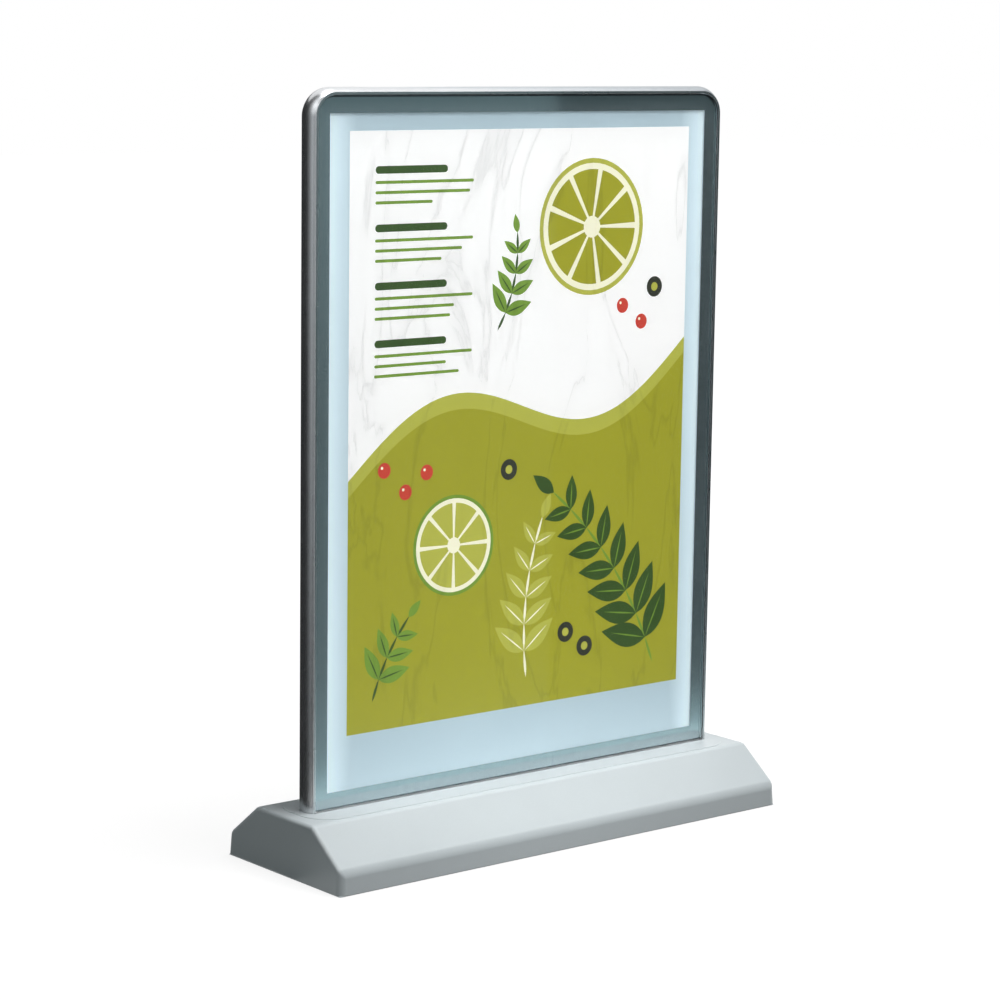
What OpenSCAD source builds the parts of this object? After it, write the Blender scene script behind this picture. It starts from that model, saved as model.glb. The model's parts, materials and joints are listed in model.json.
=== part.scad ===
// Illuminated table sign: a double-faced LED light panel standing in a low battery base.
// Millimetres, +Z up, front towards -Y, origin under the middle of the base.

/* [Poster sheet] */
// Width of the poster sheet
sheet_w = 210; // [190:1:300]
// Height of the poster sheet
sheet_h = 297; // [200:1:420]
// Thickness of the poster film
sheet_t = 0.25; // [0.15:0.05:0.35]

/* [Light panel] */
// Thickness of the light guide plate
guide_t = 2.5; // [2:0.5:5]
// Thickness of a diffuser film
diffuser_t = 0.3; // [0.2:0.05:0.4]
// Thickness of a clear cover
cover_t = 1.8; // [1.2:0.1:3]
// Thickness of the border layer printed on the back of a cover
border_t = 0.1; // [0.05:0.05:0.2]
// Width of the printed border beside the window
border_side = 6.7; // [4:0.1:12]
// Height of the printed border above the window
border_top = 7.3; // [4:0.1:15]
// Height of the printed border below the window
border_bottom = 6.8; // [4:0.1:15]
// Thickness of a cover magnet
magnet_t = 0.5; // [0.5:0.1:1]
// Width of a cover magnet
magnet_w = 3.6; // [2:0.1:4]
// Height of a cover magnet
magnet_h = 12; // [6:1:20]
// Magnets along each side of a cover
magnet_count = 3; // [2:1:5]

/* [Frame] */
// Thickness of the band at the middle of its round side
band_w = 3; // [2.5:0.1:5]
// Thickness of the band at its front and back edges
band_edge = 0.9; // [0.6:0.1:1.6]
// Outer radius of the two top corners
corner_r = 12; // [9:0.5:20]
// Depth of the channel that holds an LED strip
rail_depth = 5; // [4.6:0.1:8]
// Sheet thickness of the LED channel
rail_t = 0.6; // [0.5:0.1:1]
// Thickness of an LED strip's board
strip_t = 1; // [0.6:0.1:1.4]
// Height of one LED above its board
led_t = 0.8; // [0.5:0.1:1]
// Length of one LED along the strip
led_l = 3; // [2:0.1:5]
// Distance between LEDs
led_pitch = 12; // [8:1:25]
// Depth of a cover's face behind the rim of the band
cover_recess = 0.6; // [0.1:0.1:1]
// Depth of the panel's foot in the base
tongue_h = 14; // [11:0.5:15]
// Diameter of the screws through the legs of the band
leg_screw_d = 2; // [1.6:0.1:2.5]

/* [Base] */
// Length of the base beyond each side of the panel
base_overhang = 10; // [8:0.5:40]
// Height of the upright lower side of the base
side_h = 10; // [9:0.5:13]
// Angle of the front and back slopes, from level
slope_angle = 37.5; // [34:0.1:44]
// Radius of the base's outer edges
base_round = 4; // [3:0.5:5]
// Reach of the base's foot beyond its shoulder, on each side
base_flare = 0.5; // [0:0.1:1]
// Height of the housing's rim over the table
rim_gap = 0.2; // [0.1:0.1:0.8]
// Wall of the base housing
base_wall = 2.4; // [1.8:0.1:3]
// Wall at each side of the panel slot
trough_wall = 1.7; // [1.5:0.1:4]
// Floor under the panel slot
trough_floor = 2.5; // [1.8:0.1:4]
// Thickness of the bottom plate
plate_t = 2; // [1.8:0.1:3]
// Diameter of a rubber foot
foot_d = 12; // [8:0.5:16]
// Height of a rubber foot
foot_h = 1; // [0.8:0.1:3]
// Diameter of the base and panel screws
screw_d = 3; // [2.5:0.1:3.5]

/* [Power] */
// Diameter of a battery cell
cell_d = 18.4; // [17:0.1:21.5]
// Length of a battery cell with its button
cell_l = 65.2; // [60:0.1:71]
// Floor of the battery holder under a cell
holder_floor = 1; // [0.8:0.1:2]
// Length of the ballast bar
ballast_l = 56; // [30:1:60]
// Depth of the ballast bar
ballast_d = 16; // [10:0.5:18]
// Height of the ballast bar
ballast_h = 10; // [6:0.5:11]
// Length of the control board
board_l = 64; // [60:1:70]
// Thickness of the control board
board_t = 1.2; // [0.8:0.1:1.6]
// Height of the control board over the bottom plate
board_lift = 1.5; // [1.2:0.1:2]
// Diameter of an inner wire
wire_d = 1.4; // [1:0.1:1.6]

/* [Switch] */
// Length of the switch bezel along the base
bezel_l = 15; // [14:0.1:18]
// Height of the switch bezel on the slope
bezel_h = 10.5; // [9.8:0.1:13]
// Thickness of the switch bezel
bezel_t = 1.6; // [1.2:0.1:2]
// Depth of the switch body behind the slope
switch_depth = 11; // [9:0.5:12]
// Tilt of the rocker from its middle to either side
rocker_tilt = 9; // [6:0.5:11]

/* [Hidden] */

$fn = 64;
hull_fn = 32;

// Clearances
fit = 0.1;
slip = 0.3;
slot_clear = 0.15;
guide_clear = 0.15;
film_gap = 0.3;
magnet_air = 0.1;
cover_gap = 0.3;
flush_gap = 0.1;
sheet_side_gap = 1;
sheet_top_gap = 1.2;
rail_proud = 0.3;
rail_end_gap = 1;
strip_end_gap = 2;
cell_side_gap = 0.3;
cell_roof_gap = 0.9;
cell_wall_gap = 0.4;
led_gap = 0.2;
wire_play = 0.4;
cut = 1;

// Layers of the panel, from its middle plane outwards
guide_face = guide_t / 2;
lip_face = guide_face + guide_clear + rail_t;
border_face = lip_face + magnet_air + magnet_t;
cover_back = border_face + border_t;
cover_face = cover_back + cover_t;
panel_t = 2 * (cover_face + cover_recess);
sheet_back = guide_face + diffuser_t + film_gap;

// Panel across
panel_w = sheet_w + 2 * (sheet_side_gap + rail_depth + band_w);
band_in = panel_w / 2 - band_w;
cover_half = band_in - cover_gap;
window_half = cover_half - border_side;
bulge = band_w - band_edge;
bulge_r = (pow(panel_t / 2, 2) + pow(bulge, 2)) / (2 * bulge);
strip_face = band_in - rail_t - strip_t;
guide_half = strip_face - led_t - led_gap;

// Levels of the base and of what stands in it
plate_top = foot_h + plate_t;
slot_half = panel_t / 2 + slot_clear;
trough_half = slot_half + trough_wall;
cell_z = plate_top + holder_floor + cell_d / 2;
cell_y = trough_half + cell_side_gap + cell_d / 2;
base_h = cell_z + cell_d / 2 + cell_roof_gap + base_wall;
seat_z = base_h + rail_proud;
tongue_z = base_h - tongue_h;
trough_z = tongue_z - trough_floor;
sheet_z = seat_z + cover_gap;
panel_top = sheet_z + sheet_h + sheet_top_gap + band_w;
cover_top = panel_top - band_w - cover_gap;
rail_top = panel_top - corner_r - rail_end_gap;

// Outline of the base: the slopes clear the cells by the wall and a gap
slope_y = sin(slope_angle);
slope_z = cos(slope_angle);
slope_line = cell_y * slope_y + cell_z * slope_z + cell_d / 2 + cell_wall_gap + base_wall;
base_l = panel_w + 2 * base_overhang;
base_half = (slope_line - side_h * slope_z) / slope_y;
top_half = (slope_line - base_h * slope_z) / slope_y;
round_x = base_l / 2 - base_round;
round_y = base_half - base_round;
round_top_y = (slope_line - base_round - (base_h - base_round) * slope_z) / slope_y;
round_side_z = (slope_line - base_round - round_y * slope_y) / slope_z;
inner_x = base_l / 2 - base_wall;
inner_y = base_half - base_wall;
inner_top = base_h - base_wall;
inner_top_y = (slope_line - base_wall - inner_top * slope_z) / slope_y;
inner_side_z = (slope_line - base_wall - inner_y * slope_y) / slope_z;

// Posts for the bottom plate, feet and screws
post_d = 7;
post_inset = 4;
post_x = inner_x - post_d / 2 - post_inset;
post_y = inner_y - post_d / 2 - post_inset;
post_top = (slope_line - (post_y + post_d / 2) * slope_y) / slope_z - base_wall / 2;
foot_x = post_x - post_d / 2 - foot_d / 2 - post_inset;
foot_y = post_y;
head_d = 2 * screw_d;
thread_l = 8;
plate_screw_l = plate_t + thread_l;
panel_screw_h = 2.2;
panel_screw_l = trough_floor + thread_l;
panel_screw_x = panel_w / 3;
leg_head_d = 1.9 * leg_screw_d;
leg_head_h = 1.2;
leg_thread_l = 4;
leg_rise = 5.5;
leg_screw_l = band_w + leg_thread_l;
leg_screw_z = tongue_z + leg_rise;

// Control board at the back of the base
board_front_gap = 6.5;
board_back_gap = 0.6;
board_y0 = trough_half + board_front_gap;
board_y1 = inner_y - board_back_gap;
board_z = plate_top + board_lift;
board_top = board_z + board_t;
board_post_d = 4.6;
board_screw_d = 2;
plug_w = 7;
plug_d = 5;
plug_h = 3.6;
plug_inset = 3;
plug_pitch = 4;
board_screw_inset = 3.2;
board_screw_head_d = 3.6;
board_screw_head_h = 1.3;
board_screw_bite = 1;
board_screw_x = board_l / 2 - board_screw_inset;
board_screw_ys = [board_y0 + plug_d + board_screw_head_d / 2 + slip, board_y1 - board_screw_inset];
board_screw_l = board_t + board_lift + board_screw_bite;
plug_z = board_top + plug_h / 2;
led_plug_x = board_l / 2 - plug_w / 2 - plug_inset;
battery_plug_w = 20;
battery_wire_x = battery_plug_w / 2 - plug_inset;
switch_plug_y = (board_screw_ys[0] + board_screw_ys[1]) / 2;
chip_w = 7;
chip_h = 1.2;
chip_x = -1.5;
coil_d = 7;
coil_h = 4;
coil_x = 12;
can_d = 6;
can_h = 5;
can_x = -21;
signal_led_w = 2;

// Charging inlet
usb_x = -10;
usb_w = 8.94;
usb_h = 3.26;
usb_l = 7.35;
usb_wall = 0.3;
usb_sink = 0.4;
usb_back = 1;
tongue_w = 6.6;
tongue_l = 4.6;
tongue_t = 0.7;
usb_z = board_top + usb_h / 2;
usb_face = base_half - usb_sink;
pipe_x = 8;
pipe_d = 3;
pipe_flange_d = 4.6;
pipe_flange_t = board_back_gap - fit;
pipe_back = board_y1 - 3.2;

// Switch on the back slope
switch_gap = 12;
switch_x = board_l / 2 + switch_gap + bezel_l / 2;
switch_y = (top_half + base_half) / 2;
switch_z = (base_h + side_h) / 2;
bezel_lip = 1;
body_l = bezel_l - 2 * bezel_lip;
body_h = bezel_h - 2 * bezel_lip;
body_wall = 0.8;
well_l = body_l - 2 * body_wall;
well_h = body_h - 2 * body_wall;
well_floor = 3.5;
rocker_r = well_l / 2 - slip;
rocker_w = well_h - 2 * slip;
rocker_rise = 2.9;
rocker_dip = 1.7;
rocker_root = 3;
trunnion_d = 2.4;
trunnion_play = 0.05;
trunnion_l = well_h + 2 * (body_wall - slip);
terminal_l = 4.5;
terminal_w = 2.8;
terminal_t = 0.8;
terminal_x = body_l / 4;

// Battery holder and contacts
contact_t = 0.5;
contact_w = 12;
contact_h = 12;
button_d = 6;
button_l = 1.5;
cradle_play = 0.15;
cradle_h = 6;
cradle_w = cell_d - 2 * cell_side_gap;
holder_wall = 1.6;
holder_in = cell_l + contact_t + 2 * fit;
holder_end_h = 0.75 * cell_d;
battery_wire_y = cell_y - contact_w / 3;
battery_wire_z = cell_z - contact_h / 3;
battery_wire_out = 4;
battery_bend_x = holder_in + holder_wall + battery_wire_out;

// Ballast bar at the back of the base
ballast_gap = 6;
ballast_wall_gap = 2;
ballast_screw_inset = 10;
ballast_bite = 5;
ballast_x = -(board_l / 2 + ballast_gap + ballast_l / 2);
ballast_y = trough_half + ballast_wall_gap + ballast_d / 2;
ballast_screw_x = ballast_l / 2 - ballast_screw_inset;
ballast_screw_l = plate_t + ballast_bite;

// Routes of the inner wires
bead_extra = 0.2;
wire_lift = 1;
wire_lead_in = 3;
lead_inset = 4.4;
under_z = plate_top + wire_lift + wire_d / 2;
lead_x = guide_half - lead_inset;
led_wire_x = band_in - rail_t - wire_d / 2 - fit;
terminal_drop = 2.4;
lead_bore_d = wire_d + 2 * wire_play;
lead_groove_z = seat_z - wire_d - 2 * slip;
lead_z = lead_groove_z + slip + wire_d / 2;
battery_run_y = -slot_half;

// LED strips and cover magnets
strip_end_z = seat_z + strip_end_gap;
strip_h = rail_top - strip_end_gap - strip_end_z;
strip_w = guide_t - fit;
led_w = guide_t - 5 * fit;
led_count = floor(strip_h / led_pitch);
led_first_z = strip_end_z + (strip_h - (led_count - 1) * led_pitch) / 2;
magnet_end = 20;
magnet_x = band_in - rail_depth / 2;
magnet_low = sheet_z + magnet_end;
magnet_step = (rail_top - magnet_end - magnet_low) / (magnet_count - 1);

// Plan outlines

module tab_outline(half, low, high, r) {
    translate([-half, low])
        square([2 * half, high - r - low]);
    translate([-(half - r), low])
        square([2 * (half - r), high - low]);
    for (side = [-1, 1])
        translate([side * (half - r), high - r])
            circle(r);
}

module cover_outline() {
    tab_outline(cover_half, sheet_z, cover_top, corner_r - band_w - cover_gap);
}

module window_outline() {
    translate([-window_half, sheet_z + border_bottom])
        square([2 * window_half, cover_top - border_top - sheet_z - border_bottom]);
}

module sheet_outline(low) {
    translate([-sheet_w / 2, low])
        square([sheet_w, sheet_h]);
}

// Sets an outline upright, filling the depth from back to back + t towards the front
module upright(back, t) {
    translate([0, -back, 0])
        rotate([90, 0, 0])
            linear_extrude(t)
                children();
}

module to_rear() {
    mirror([0, 1, 0])
        children();
}

module to_side(side) {
    mirror([side < 0 ? 1 : 0, 0, 0])
        children();
}

module band_profile() {
    intersection() {
        translate([band_w - bulge_r, 0])
            circle(bulge_r);
        translate([0, -panel_t / 2])
            square([band_w, panel_t]);
    }
}

// Plan of the panel's foot, grown by a clearance
module foot_plan(grow) {
    end_x = panel_w / 2 - bulge_r;
    square([2 * end_x, panel_t + 2 * grow], center = true);
    for (side = [-1, 1])
        intersection() {
            translate([side * end_x, 0])
                circle(bulge_r + grow);
            square([panel_w + 2 * grow, panel_t + 2 * grow], center = true);
        }
}

// A countersunk screw that points up, with its head's face at the origin
module sunk_screw(d, head, length) {
    cylinder(d = d, h = length);
    cylinder(d1 = head, d2 = d, h = head / 4);
}

module sunk_hole(d, head, length) {
    translate([0, 0, -cut])
        cylinder(d = d + fit, h = length + cut);
    cylinder(d1 = head + fit, d2 = d + fit, h = head / 4);
    translate([0, 0, -cut])
        cylinder(d = head + fit, h = cut);
}

module at_posts() {
    for (x = [-post_x, post_x], y = [-post_y, post_y])
        translate([x, y, 0])
            children();
}

module at_board_screws() {
    for (x = [-board_screw_x, board_screw_x], y = board_screw_ys)
        translate([x, y, 0])
            children();
}

module at_panel_screws() {
    for (x = [-panel_screw_x, 0, panel_screw_x])
        translate([x, 0, 0])
            children();
}

module at_ballast_screws() {
    for (x = [-ballast_screw_x, ballast_screw_x])
        translate([ballast_x + x, ballast_y, 0])
            children();
}

module at_legs() {
    for (side = [-1, 1])
        to_side(side)
            translate([panel_w / 2, 0, leg_screw_z])
                rotate([0, -90, 0])
                    children();
}

// Switch frame: X along the base, Y down the slope, Z out of it
module at_switch() {
    translate([switch_x, switch_y, switch_z])
        rotate([-slope_angle, 0, 0])
            children();
}

function switch_point(p) = [
    switch_x + p[0],
    switch_y + p[1] * slope_z + p[2] * slope_y,
    switch_z - p[1] * slope_y + p[2] * slope_z
];

// A round wire through a list of points, with a bead at each bend
module wire(points) {
    for (i = [0 : len(points) - 2]) {
        step = points[i + 1] - points[i];
        reach = norm(step);
        translate(points[i])
            rotate([0, acos(step[2] / reach), atan2(step[1], step[0])])
                cylinder(d = wire_d, h = reach);
    }
    for (i = [1 : 1 : len(points) - 2])
        translate(points[i])
            sphere(d = wire_d + bead_extra);
}

// Base

module base_form() {
    hull()
        for (sx = [-1, 1], sy = [-1, 1]) {
            translate([sx * round_x, sy * round_top_y, base_h - base_round])
                sphere(base_round, $fn = hull_fn);
            translate([sx * round_x, sy * round_y, round_side_z])
                sphere(base_round, $fn = hull_fn);
            translate([sx * round_x, sy * round_y, rim_gap])
                cylinder(r1 = base_round + base_flare, r2 = base_round, h = round_side_z - rim_gap, $fn = hull_fn);
        }
}

module base_cavity() {
    translate([-inner_x, 0, 0])
        rotate([90, 0, 90])
            linear_extrude(2 * inner_x)
                polygon([
                    [-inner_y, rim_gap - cut], [inner_y, rim_gap - cut],
                    [inner_y, inner_side_z], [inner_top_y, inner_top],
                    [-inner_top_y, inner_top], [-inner_y, inner_side_z]
                ]);
}

module stadium(w, h, length) {
    for (side = [-1, 1])
        translate([side * (w - h) / 2, 0, 0])
            rotate([-90, 0, 0])
                cylinder(d = h, h = length);
    translate([-(w - h) / 2, 0, -h / 2])
        cube([w - h, length, h]);
}

module base_housing() color([0.78, 0.8, 0.81]) {
    difference() {
        union() {
            difference() {
                base_form();
                base_cavity();
            }
            translate([-panel_w / 2 - slot_clear - trough_wall, -trough_half, trough_z])
                cube([panel_w + 2 * (slot_clear + trough_wall), 2 * trough_half, inner_top + fit - trough_z]);
            at_posts()
                translate([0, 0, plate_top])
                    cylinder(d = post_d, h = post_top - plate_top);
        }
        translate([0, 0, tongue_z])
            linear_extrude(tongue_h + cut)
                foot_plan(slot_clear);
        at_panel_screws()
            translate([0, 0, trough_z - cut])
                cylinder(d = screw_d + fit, h = trough_floor + 2 * cut);
        for (side = [-1, 1])
            translate([side * lead_x, 0, trough_z - cut])
                cylinder(d = lead_bore_d, h = trough_floor + 2 * cut);
        at_posts()
            translate([0, 0, plate_top - cut])
                cylinder(d = screw_d + fit, h = plate_screw_l - plate_t + 2 * cut);
        at_switch()
            translate([-body_l / 2 - fit, -body_h / 2 - fit, -3 * base_wall])
                cube([body_l + 2 * fit, body_h + 2 * fit, 4 * base_wall]);
        translate([usb_x, inner_y - cut, usb_z])
            stadium(usb_w + 2 * slip, usb_h + 2 * slip, base_wall + 2 * cut);
        translate([pipe_x, inner_y - cut, usb_z])
            rotate([-90, 0, 0]) {
                cylinder(d = pipe_d + fit, h = base_wall + 2 * cut);
                cylinder(d = pipe_flange_d + fit, h = cut);
            }
    }
}

module bottom_plate() color([0.25, 0.26, 0.27]) {
    difference() {
        union() {
            translate([-inner_x + slip, -inner_y + slip, foot_h])
                cube([2 * (inner_x - slip), 2 * (inner_y - slip), plate_t]);
            at_board_screws()
                translate([0, 0, plate_top - fit])
                    cylinder(d = board_post_d, h = board_lift + fit);
        }
        at_posts()
            translate([0, 0, foot_h])
                sunk_hole(screw_d, head_d, plate_t + cut);
        at_ballast_screws()
            translate([0, 0, foot_h])
                sunk_hole(screw_d, head_d, plate_t + cut);
        at_board_screws()
            translate([0, 0, board_top - board_screw_l - fit])
                cylinder(d = board_screw_d + fit, h = board_screw_l);
    }
}

module plate_screws() color("dimgray")
    at_posts()
        translate([0, 0, foot_h])
            sunk_screw(screw_d, head_d, plate_screw_l);

module rubber_feet() color([0.12, 0.12, 0.12])
    for (x = [-foot_x, foot_x], y = [-foot_y, foot_y])
        translate([x, y, 0])
            cylinder(d = foot_d, h = foot_h);

module ballast_bar() color("slategray")
    difference() {
        translate([ballast_x - ballast_l / 2, ballast_y - ballast_d / 2, plate_top])
            cube([ballast_l, ballast_d, ballast_h]);
        at_ballast_screws()
            translate([0, 0, plate_top - cut])
                cylinder(d = screw_d + fit, h = ballast_screw_l - plate_t + 2 * cut);
    }

module ballast_screws() color("dimgray")
    at_ballast_screws()
        translate([0, 0, foot_h])
            sunk_screw(screw_d, head_d, ballast_screw_l);

// Battery

module battery_holder() color([0.1, 0.1, 0.11])
    translate([0, -cell_y, 0])
        difference() {
            union() {
                translate([-holder_in - holder_wall, -cradle_w / 2, plate_top])
                    cube([2 * (holder_in + holder_wall), cradle_w, cradle_h]);
                for (side = [-1, 1])
                    to_side(side)
                        translate([holder_in, -cradle_w / 2, plate_top])
                            cube([holder_wall, cradle_w, holder_end_h]);
            }
            translate([-holder_in, 0, cell_z])
                rotate([0, 90, 0])
                    cylinder(d = cell_d + 2 * cradle_play, h = 2 * holder_in);
            for (side = [-1, 1])
                translate([side * (holder_in + holder_wall / 2), cell_y - battery_wire_y, battery_wire_z])
                    rotate([0, 90, 0])
                        cylinder(d = wire_d + wire_play, h = holder_wall + 2 * cut, center = true);
        }

module battery_cell() {
    rotate([0, 90, 0]) {
        cylinder(d = cell_d, h = cell_l - button_l);
        translate([0, 0, cell_l - button_l])
            cylinder(d = button_d, h = button_l);
    }
}

module battery_cells() color([0.1, 0.45, 0.6])
    for (x = [-cell_l - fit / 2, fit / 2])
        translate([x, -cell_y, cell_z])
            battery_cell();

module battery_contacts() color("lightgray")
    for (side = [-1, 1])
        to_side(side)
            translate([cell_l + fit, -cell_y - contact_w / 2, cell_z - contact_h / 2])
                cube([contact_t, contact_w, contact_h]);

// Control board

module control_board() color([0.05, 0.35, 0.2])
    difference() {
        translate([-board_l / 2, board_y0, board_z])
            cube([board_l, board_y1 - board_y0, board_t]);
        at_board_screws()
            translate([0, 0, board_z - cut])
                cylinder(d = board_screw_d + fit, h = board_t + 2 * cut);
    }

module board_components() color([0.15, 0.15, 0.17])
    translate([0, 0, board_top]) {
        for (x = [-led_plug_x, led_plug_x])
            translate([x - plug_w / 2, board_y0, 0])
                cube([plug_w, plug_d, plug_h]);
        translate([-battery_plug_w / 2, board_y0, 0])
            cube([battery_plug_w, plug_d, plug_h]);
        translate([board_l / 2 - plug_d, switch_plug_y - plug_w / 2, 0])
            cube([plug_d, plug_w, plug_h]);
        translate([chip_x - chip_w / 2, switch_plug_y - chip_w / 2, 0])
            cube([chip_w, chip_w, chip_h]);
        translate([coil_x, switch_plug_y, 0])
            cylinder(d = coil_d, h = coil_h);
        translate([can_x, switch_plug_y, 0])
            cylinder(d = can_d, h = can_h);
        translate([pipe_x - signal_led_w / 2, pipe_back - fit - signal_led_w, 0])
            cube([signal_led_w, signal_led_w, usb_h / 2 + signal_led_w / 2]);
    }

module board_screws() color("silver")
    at_board_screws() {
        translate([0, 0, board_top - board_screw_l])
            cylinder(d = board_screw_d, h = board_screw_l);
        translate([0, 0, board_top])
            cylinder(d = board_screw_head_d, h = board_screw_head_h);
    }

module usb_socket() color("silver")
    translate([usb_x, usb_face - usb_l, usb_z])
        difference() {
            stadium(usb_w, usb_h, usb_l);
            translate([0, usb_back, 0])
                stadium(usb_w - 2 * usb_wall, usb_h - 2 * usb_wall, usb_l);
        }

module usb_tongue() color([0.1, 0.1, 0.1])
    translate([usb_x - tongue_w / 2, usb_face - usb_l + usb_back, usb_z - tongue_t / 2])
        cube([tongue_w, tongue_l, tongue_t]);

module charge_light_pipe() color([0.85, 0.9, 0.85])
    translate([pipe_x, 0, usb_z])
        rotate([-90, 0, 0]) {
            translate([0, 0, inner_y - pipe_flange_t])
                cylinder(d = pipe_flange_d, h = pipe_flange_t);
            translate([0, 0, pipe_back])
                cylinder(d = pipe_d, h = base_half - flush_gap - pipe_back);
        }

// Switch

module switch_housing() color([0.08, 0.08, 0.09])
    at_switch()
        difference() {
            union() {
                translate([-bezel_l / 2, -bezel_h / 2, 0])
                    cube([bezel_l, bezel_h, bezel_t]);
                translate([-body_l / 2, -body_h / 2, -switch_depth])
                    cube([body_l, body_h, switch_depth + fit]);
            }
            translate([-well_l / 2, -well_h / 2, well_floor - switch_depth])
                cube([well_l, well_h, switch_depth + bezel_t]);
            rotate([90, 0, 0])
                cylinder(d = trunnion_d + 2 * trunnion_play, h = trunnion_l + fit, center = true);
        }

module rocker_button() color([0.16, 0.16, 0.17])
    at_switch()
        rotate([0, rocker_tilt, 0]) {
            rotate([90, 0, 0])
                linear_extrude(rocker_w, center = true)
                    intersection() {
                        circle(rocker_r);
                        polygon([
                            [-rocker_r, -rocker_root], [rocker_r, -rocker_root],
                            [rocker_r, rocker_rise], [0, rocker_dip], [-rocker_r, rocker_rise]
                        ]);
                    }
            rotate([90, 0, 0])
                cylinder(d = trunnion_d, h = trunnion_l, center = true);
        }

module switch_terminals() color("goldenrod")
    at_switch()
        for (x = [-terminal_x, terminal_x])
            translate([x - terminal_t / 2, -terminal_w / 2, -switch_depth - terminal_l])
                cube([terminal_t, terminal_w, terminal_l]);

// Inner wires

module battery_leads() color("firebrick")
    for (side = [-1, 1])
        wire([
            [side * (cell_l + fit + contact_t), -battery_wire_y, battery_wire_z],
            [side * battery_bend_x, -battery_wire_y, battery_wire_z],
            [side * battery_bend_x, -battery_wire_y, under_z],
            [side * battery_bend_x, battery_run_y, under_z],
            [side * battery_wire_x, battery_run_y, under_z],
            [side * battery_wire_x, board_y0 - wire_lead_in, plug_z],
            [side * battery_wire_x, board_y0, plug_z]
        ]);

// One wire from a switch terminal: down, along the base, then up to its plug on the board
module switch_lead(side, run_y, bend_x, plug_y) {
    end_z = -switch_depth - terminal_l;
    start = switch_point([side * terminal_x, 0, end_z]);
    low = switch_point([side * terminal_x, 0, end_z - terminal_drop]);
    wire([
        start,
        low,
        [low[0], low[1] + run_y, low[2]],
        [bend_x, low[1] + run_y, low[2]],
        [bend_x, plug_y, plug_z],
        [board_l / 2, plug_y, plug_z]
    ]);
}

module switch_leads() color("darkorange") {
    switch_lead(-1, 2 * wire_d, board_l / 2 + 2 * wire_lead_in, switch_plug_y + plug_pitch / 2);
    switch_lead(1, -2 * wire_d, board_l / 2 + wire_lead_in, switch_plug_y - plug_pitch / 2);
}

module led_lead(side) color("black")
    to_side(side)
        wire([
            [led_wire_x, 0, strip_end_z],
            [led_wire_x, 0, lead_z],
            [lead_x, 0, lead_z],
            [lead_x, 0, under_z],
            [led_plug_x, 0, under_z],
            [led_plug_x, board_y0 - wire_lead_in, plug_z],
            [led_plug_x, board_y0, plug_z]
        ]);

module left_led_lead()
    led_lead(-1);

module right_led_lead()
    led_lead(1);

// Panel frame

module frame_band() color([0.8, 0.82, 0.84])
    difference() {
        union() {
            for (side = [-1, 1])
                to_side(side) {
                    translate([band_in, 0, tongue_z])
                        linear_extrude(panel_top - corner_r - tongue_z)
                            band_profile();
                    translate([panel_w / 2 - corner_r, 0, panel_top - corner_r])
                        rotate([90, 0, 0])
                            rotate_extrude(angle = 90)
                                translate([corner_r - band_w, 0])
                                    band_profile();
                }
            translate([panel_w / 2 - corner_r, 0, panel_top - band_w])
                rotate([0, -90, 0])
                    linear_extrude(panel_w - 2 * corner_r)
                        band_profile();
        }
        at_legs() {
            translate([0, 0, -cut])
                cylinder(d = leg_screw_d + fit, h = band_w + 2 * cut);
            translate([0, 0, -cut])
                cylinder(d = leg_head_d + fit, h = leg_head_h + cut);
        }
    }

module leg_screws() color("dimgray")
    at_legs() {
        translate([0, 0, fit])
            cylinder(d = leg_screw_d, h = leg_screw_l - fit);
        translate([0, 0, fit])
            cylinder(d = leg_head_d, h = leg_head_h - fit);
    }

module bottom_rail() color([0.7, 0.72, 0.74])
    difference() {
        translate([-band_in, -panel_t / 2, tongue_z])
            cube([2 * band_in, panel_t, seat_z - tongue_z]);
        at_panel_screws()
            translate([0, 0, tongue_z - cut])
                cylinder(d = screw_d + fit, h = panel_screw_l - trough_floor + 2 * cut);
        at_legs()
            cylinder(d = leg_screw_d + fit, h = leg_screw_l + cut);
        for (side = [-1, 1])
            to_side(side) {
                translate([lead_x, 0, tongue_z - cut])
                    cylinder(d = lead_bore_d, h = seat_z - tongue_z + cut - slip);
                translate([lead_x - lead_bore_d / 2, -lead_bore_d / 2, lead_groove_z])
                    cube([band_in - lead_x + lead_bore_d, lead_bore_d, seat_z - lead_groove_z + cut]);
            }
    }

module panel_screws() color("dimgray")
    at_panel_screws() {
        translate([0, 0, trough_z])
            cylinder(d = screw_d, h = panel_screw_l);
        translate([0, 0, trough_z - panel_screw_h])
            cylinder(d = head_d, h = panel_screw_h);
    }

// Light

module led_rail(side) color([0.6, 0.62, 0.64])
    to_side(side)
        translate([0, 0, seat_z])
            linear_extrude(rail_top - seat_z)
                difference() {
                    translate([band_in - rail_depth, -lip_face])
                        square([rail_depth, 2 * lip_face]);
                    translate([band_in - rail_depth - cut, -lip_face + rail_t])
                        square([rail_depth + cut - rail_t, 2 * (lip_face - rail_t)]);
                }

module left_led_rail()
    led_rail(-1);

module right_led_rail()
    led_rail(1);

module led_strip(side) color([0.92, 0.92, 0.9])
    to_side(side)
        translate([strip_face, -strip_w / 2, strip_end_z])
            cube([strip_t, strip_w, strip_h]);

module left_led_strip()
    led_strip(-1);

module right_led_strip()
    led_strip(1);

module leds(side) color([1, 0.95, 0.7])
    to_side(side)
        for (i = [0 : led_count - 1])
            translate([strip_face - led_t, -led_w / 2, led_first_z + i * led_pitch - led_l / 2])
                cube([led_t, led_w, led_l]);

module left_leds()
    leds(-1);

module right_leds()
    leds(1);

module light_guide() color([0.85, 0.93, 0.96])
    upright(-guide_face, guide_t)
        intersection() {
            tab_outline(cover_half, seat_z, cover_top, corner_r - band_w - cover_gap);
            translate([-guide_half, seat_z])
                square([2 * guide_half, cover_top - seat_z]);
        }

module front_diffuser() color([0.95, 0.97, 0.98])
    upright(guide_face, diffuser_t)
        sheet_outline(seat_z);

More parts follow.
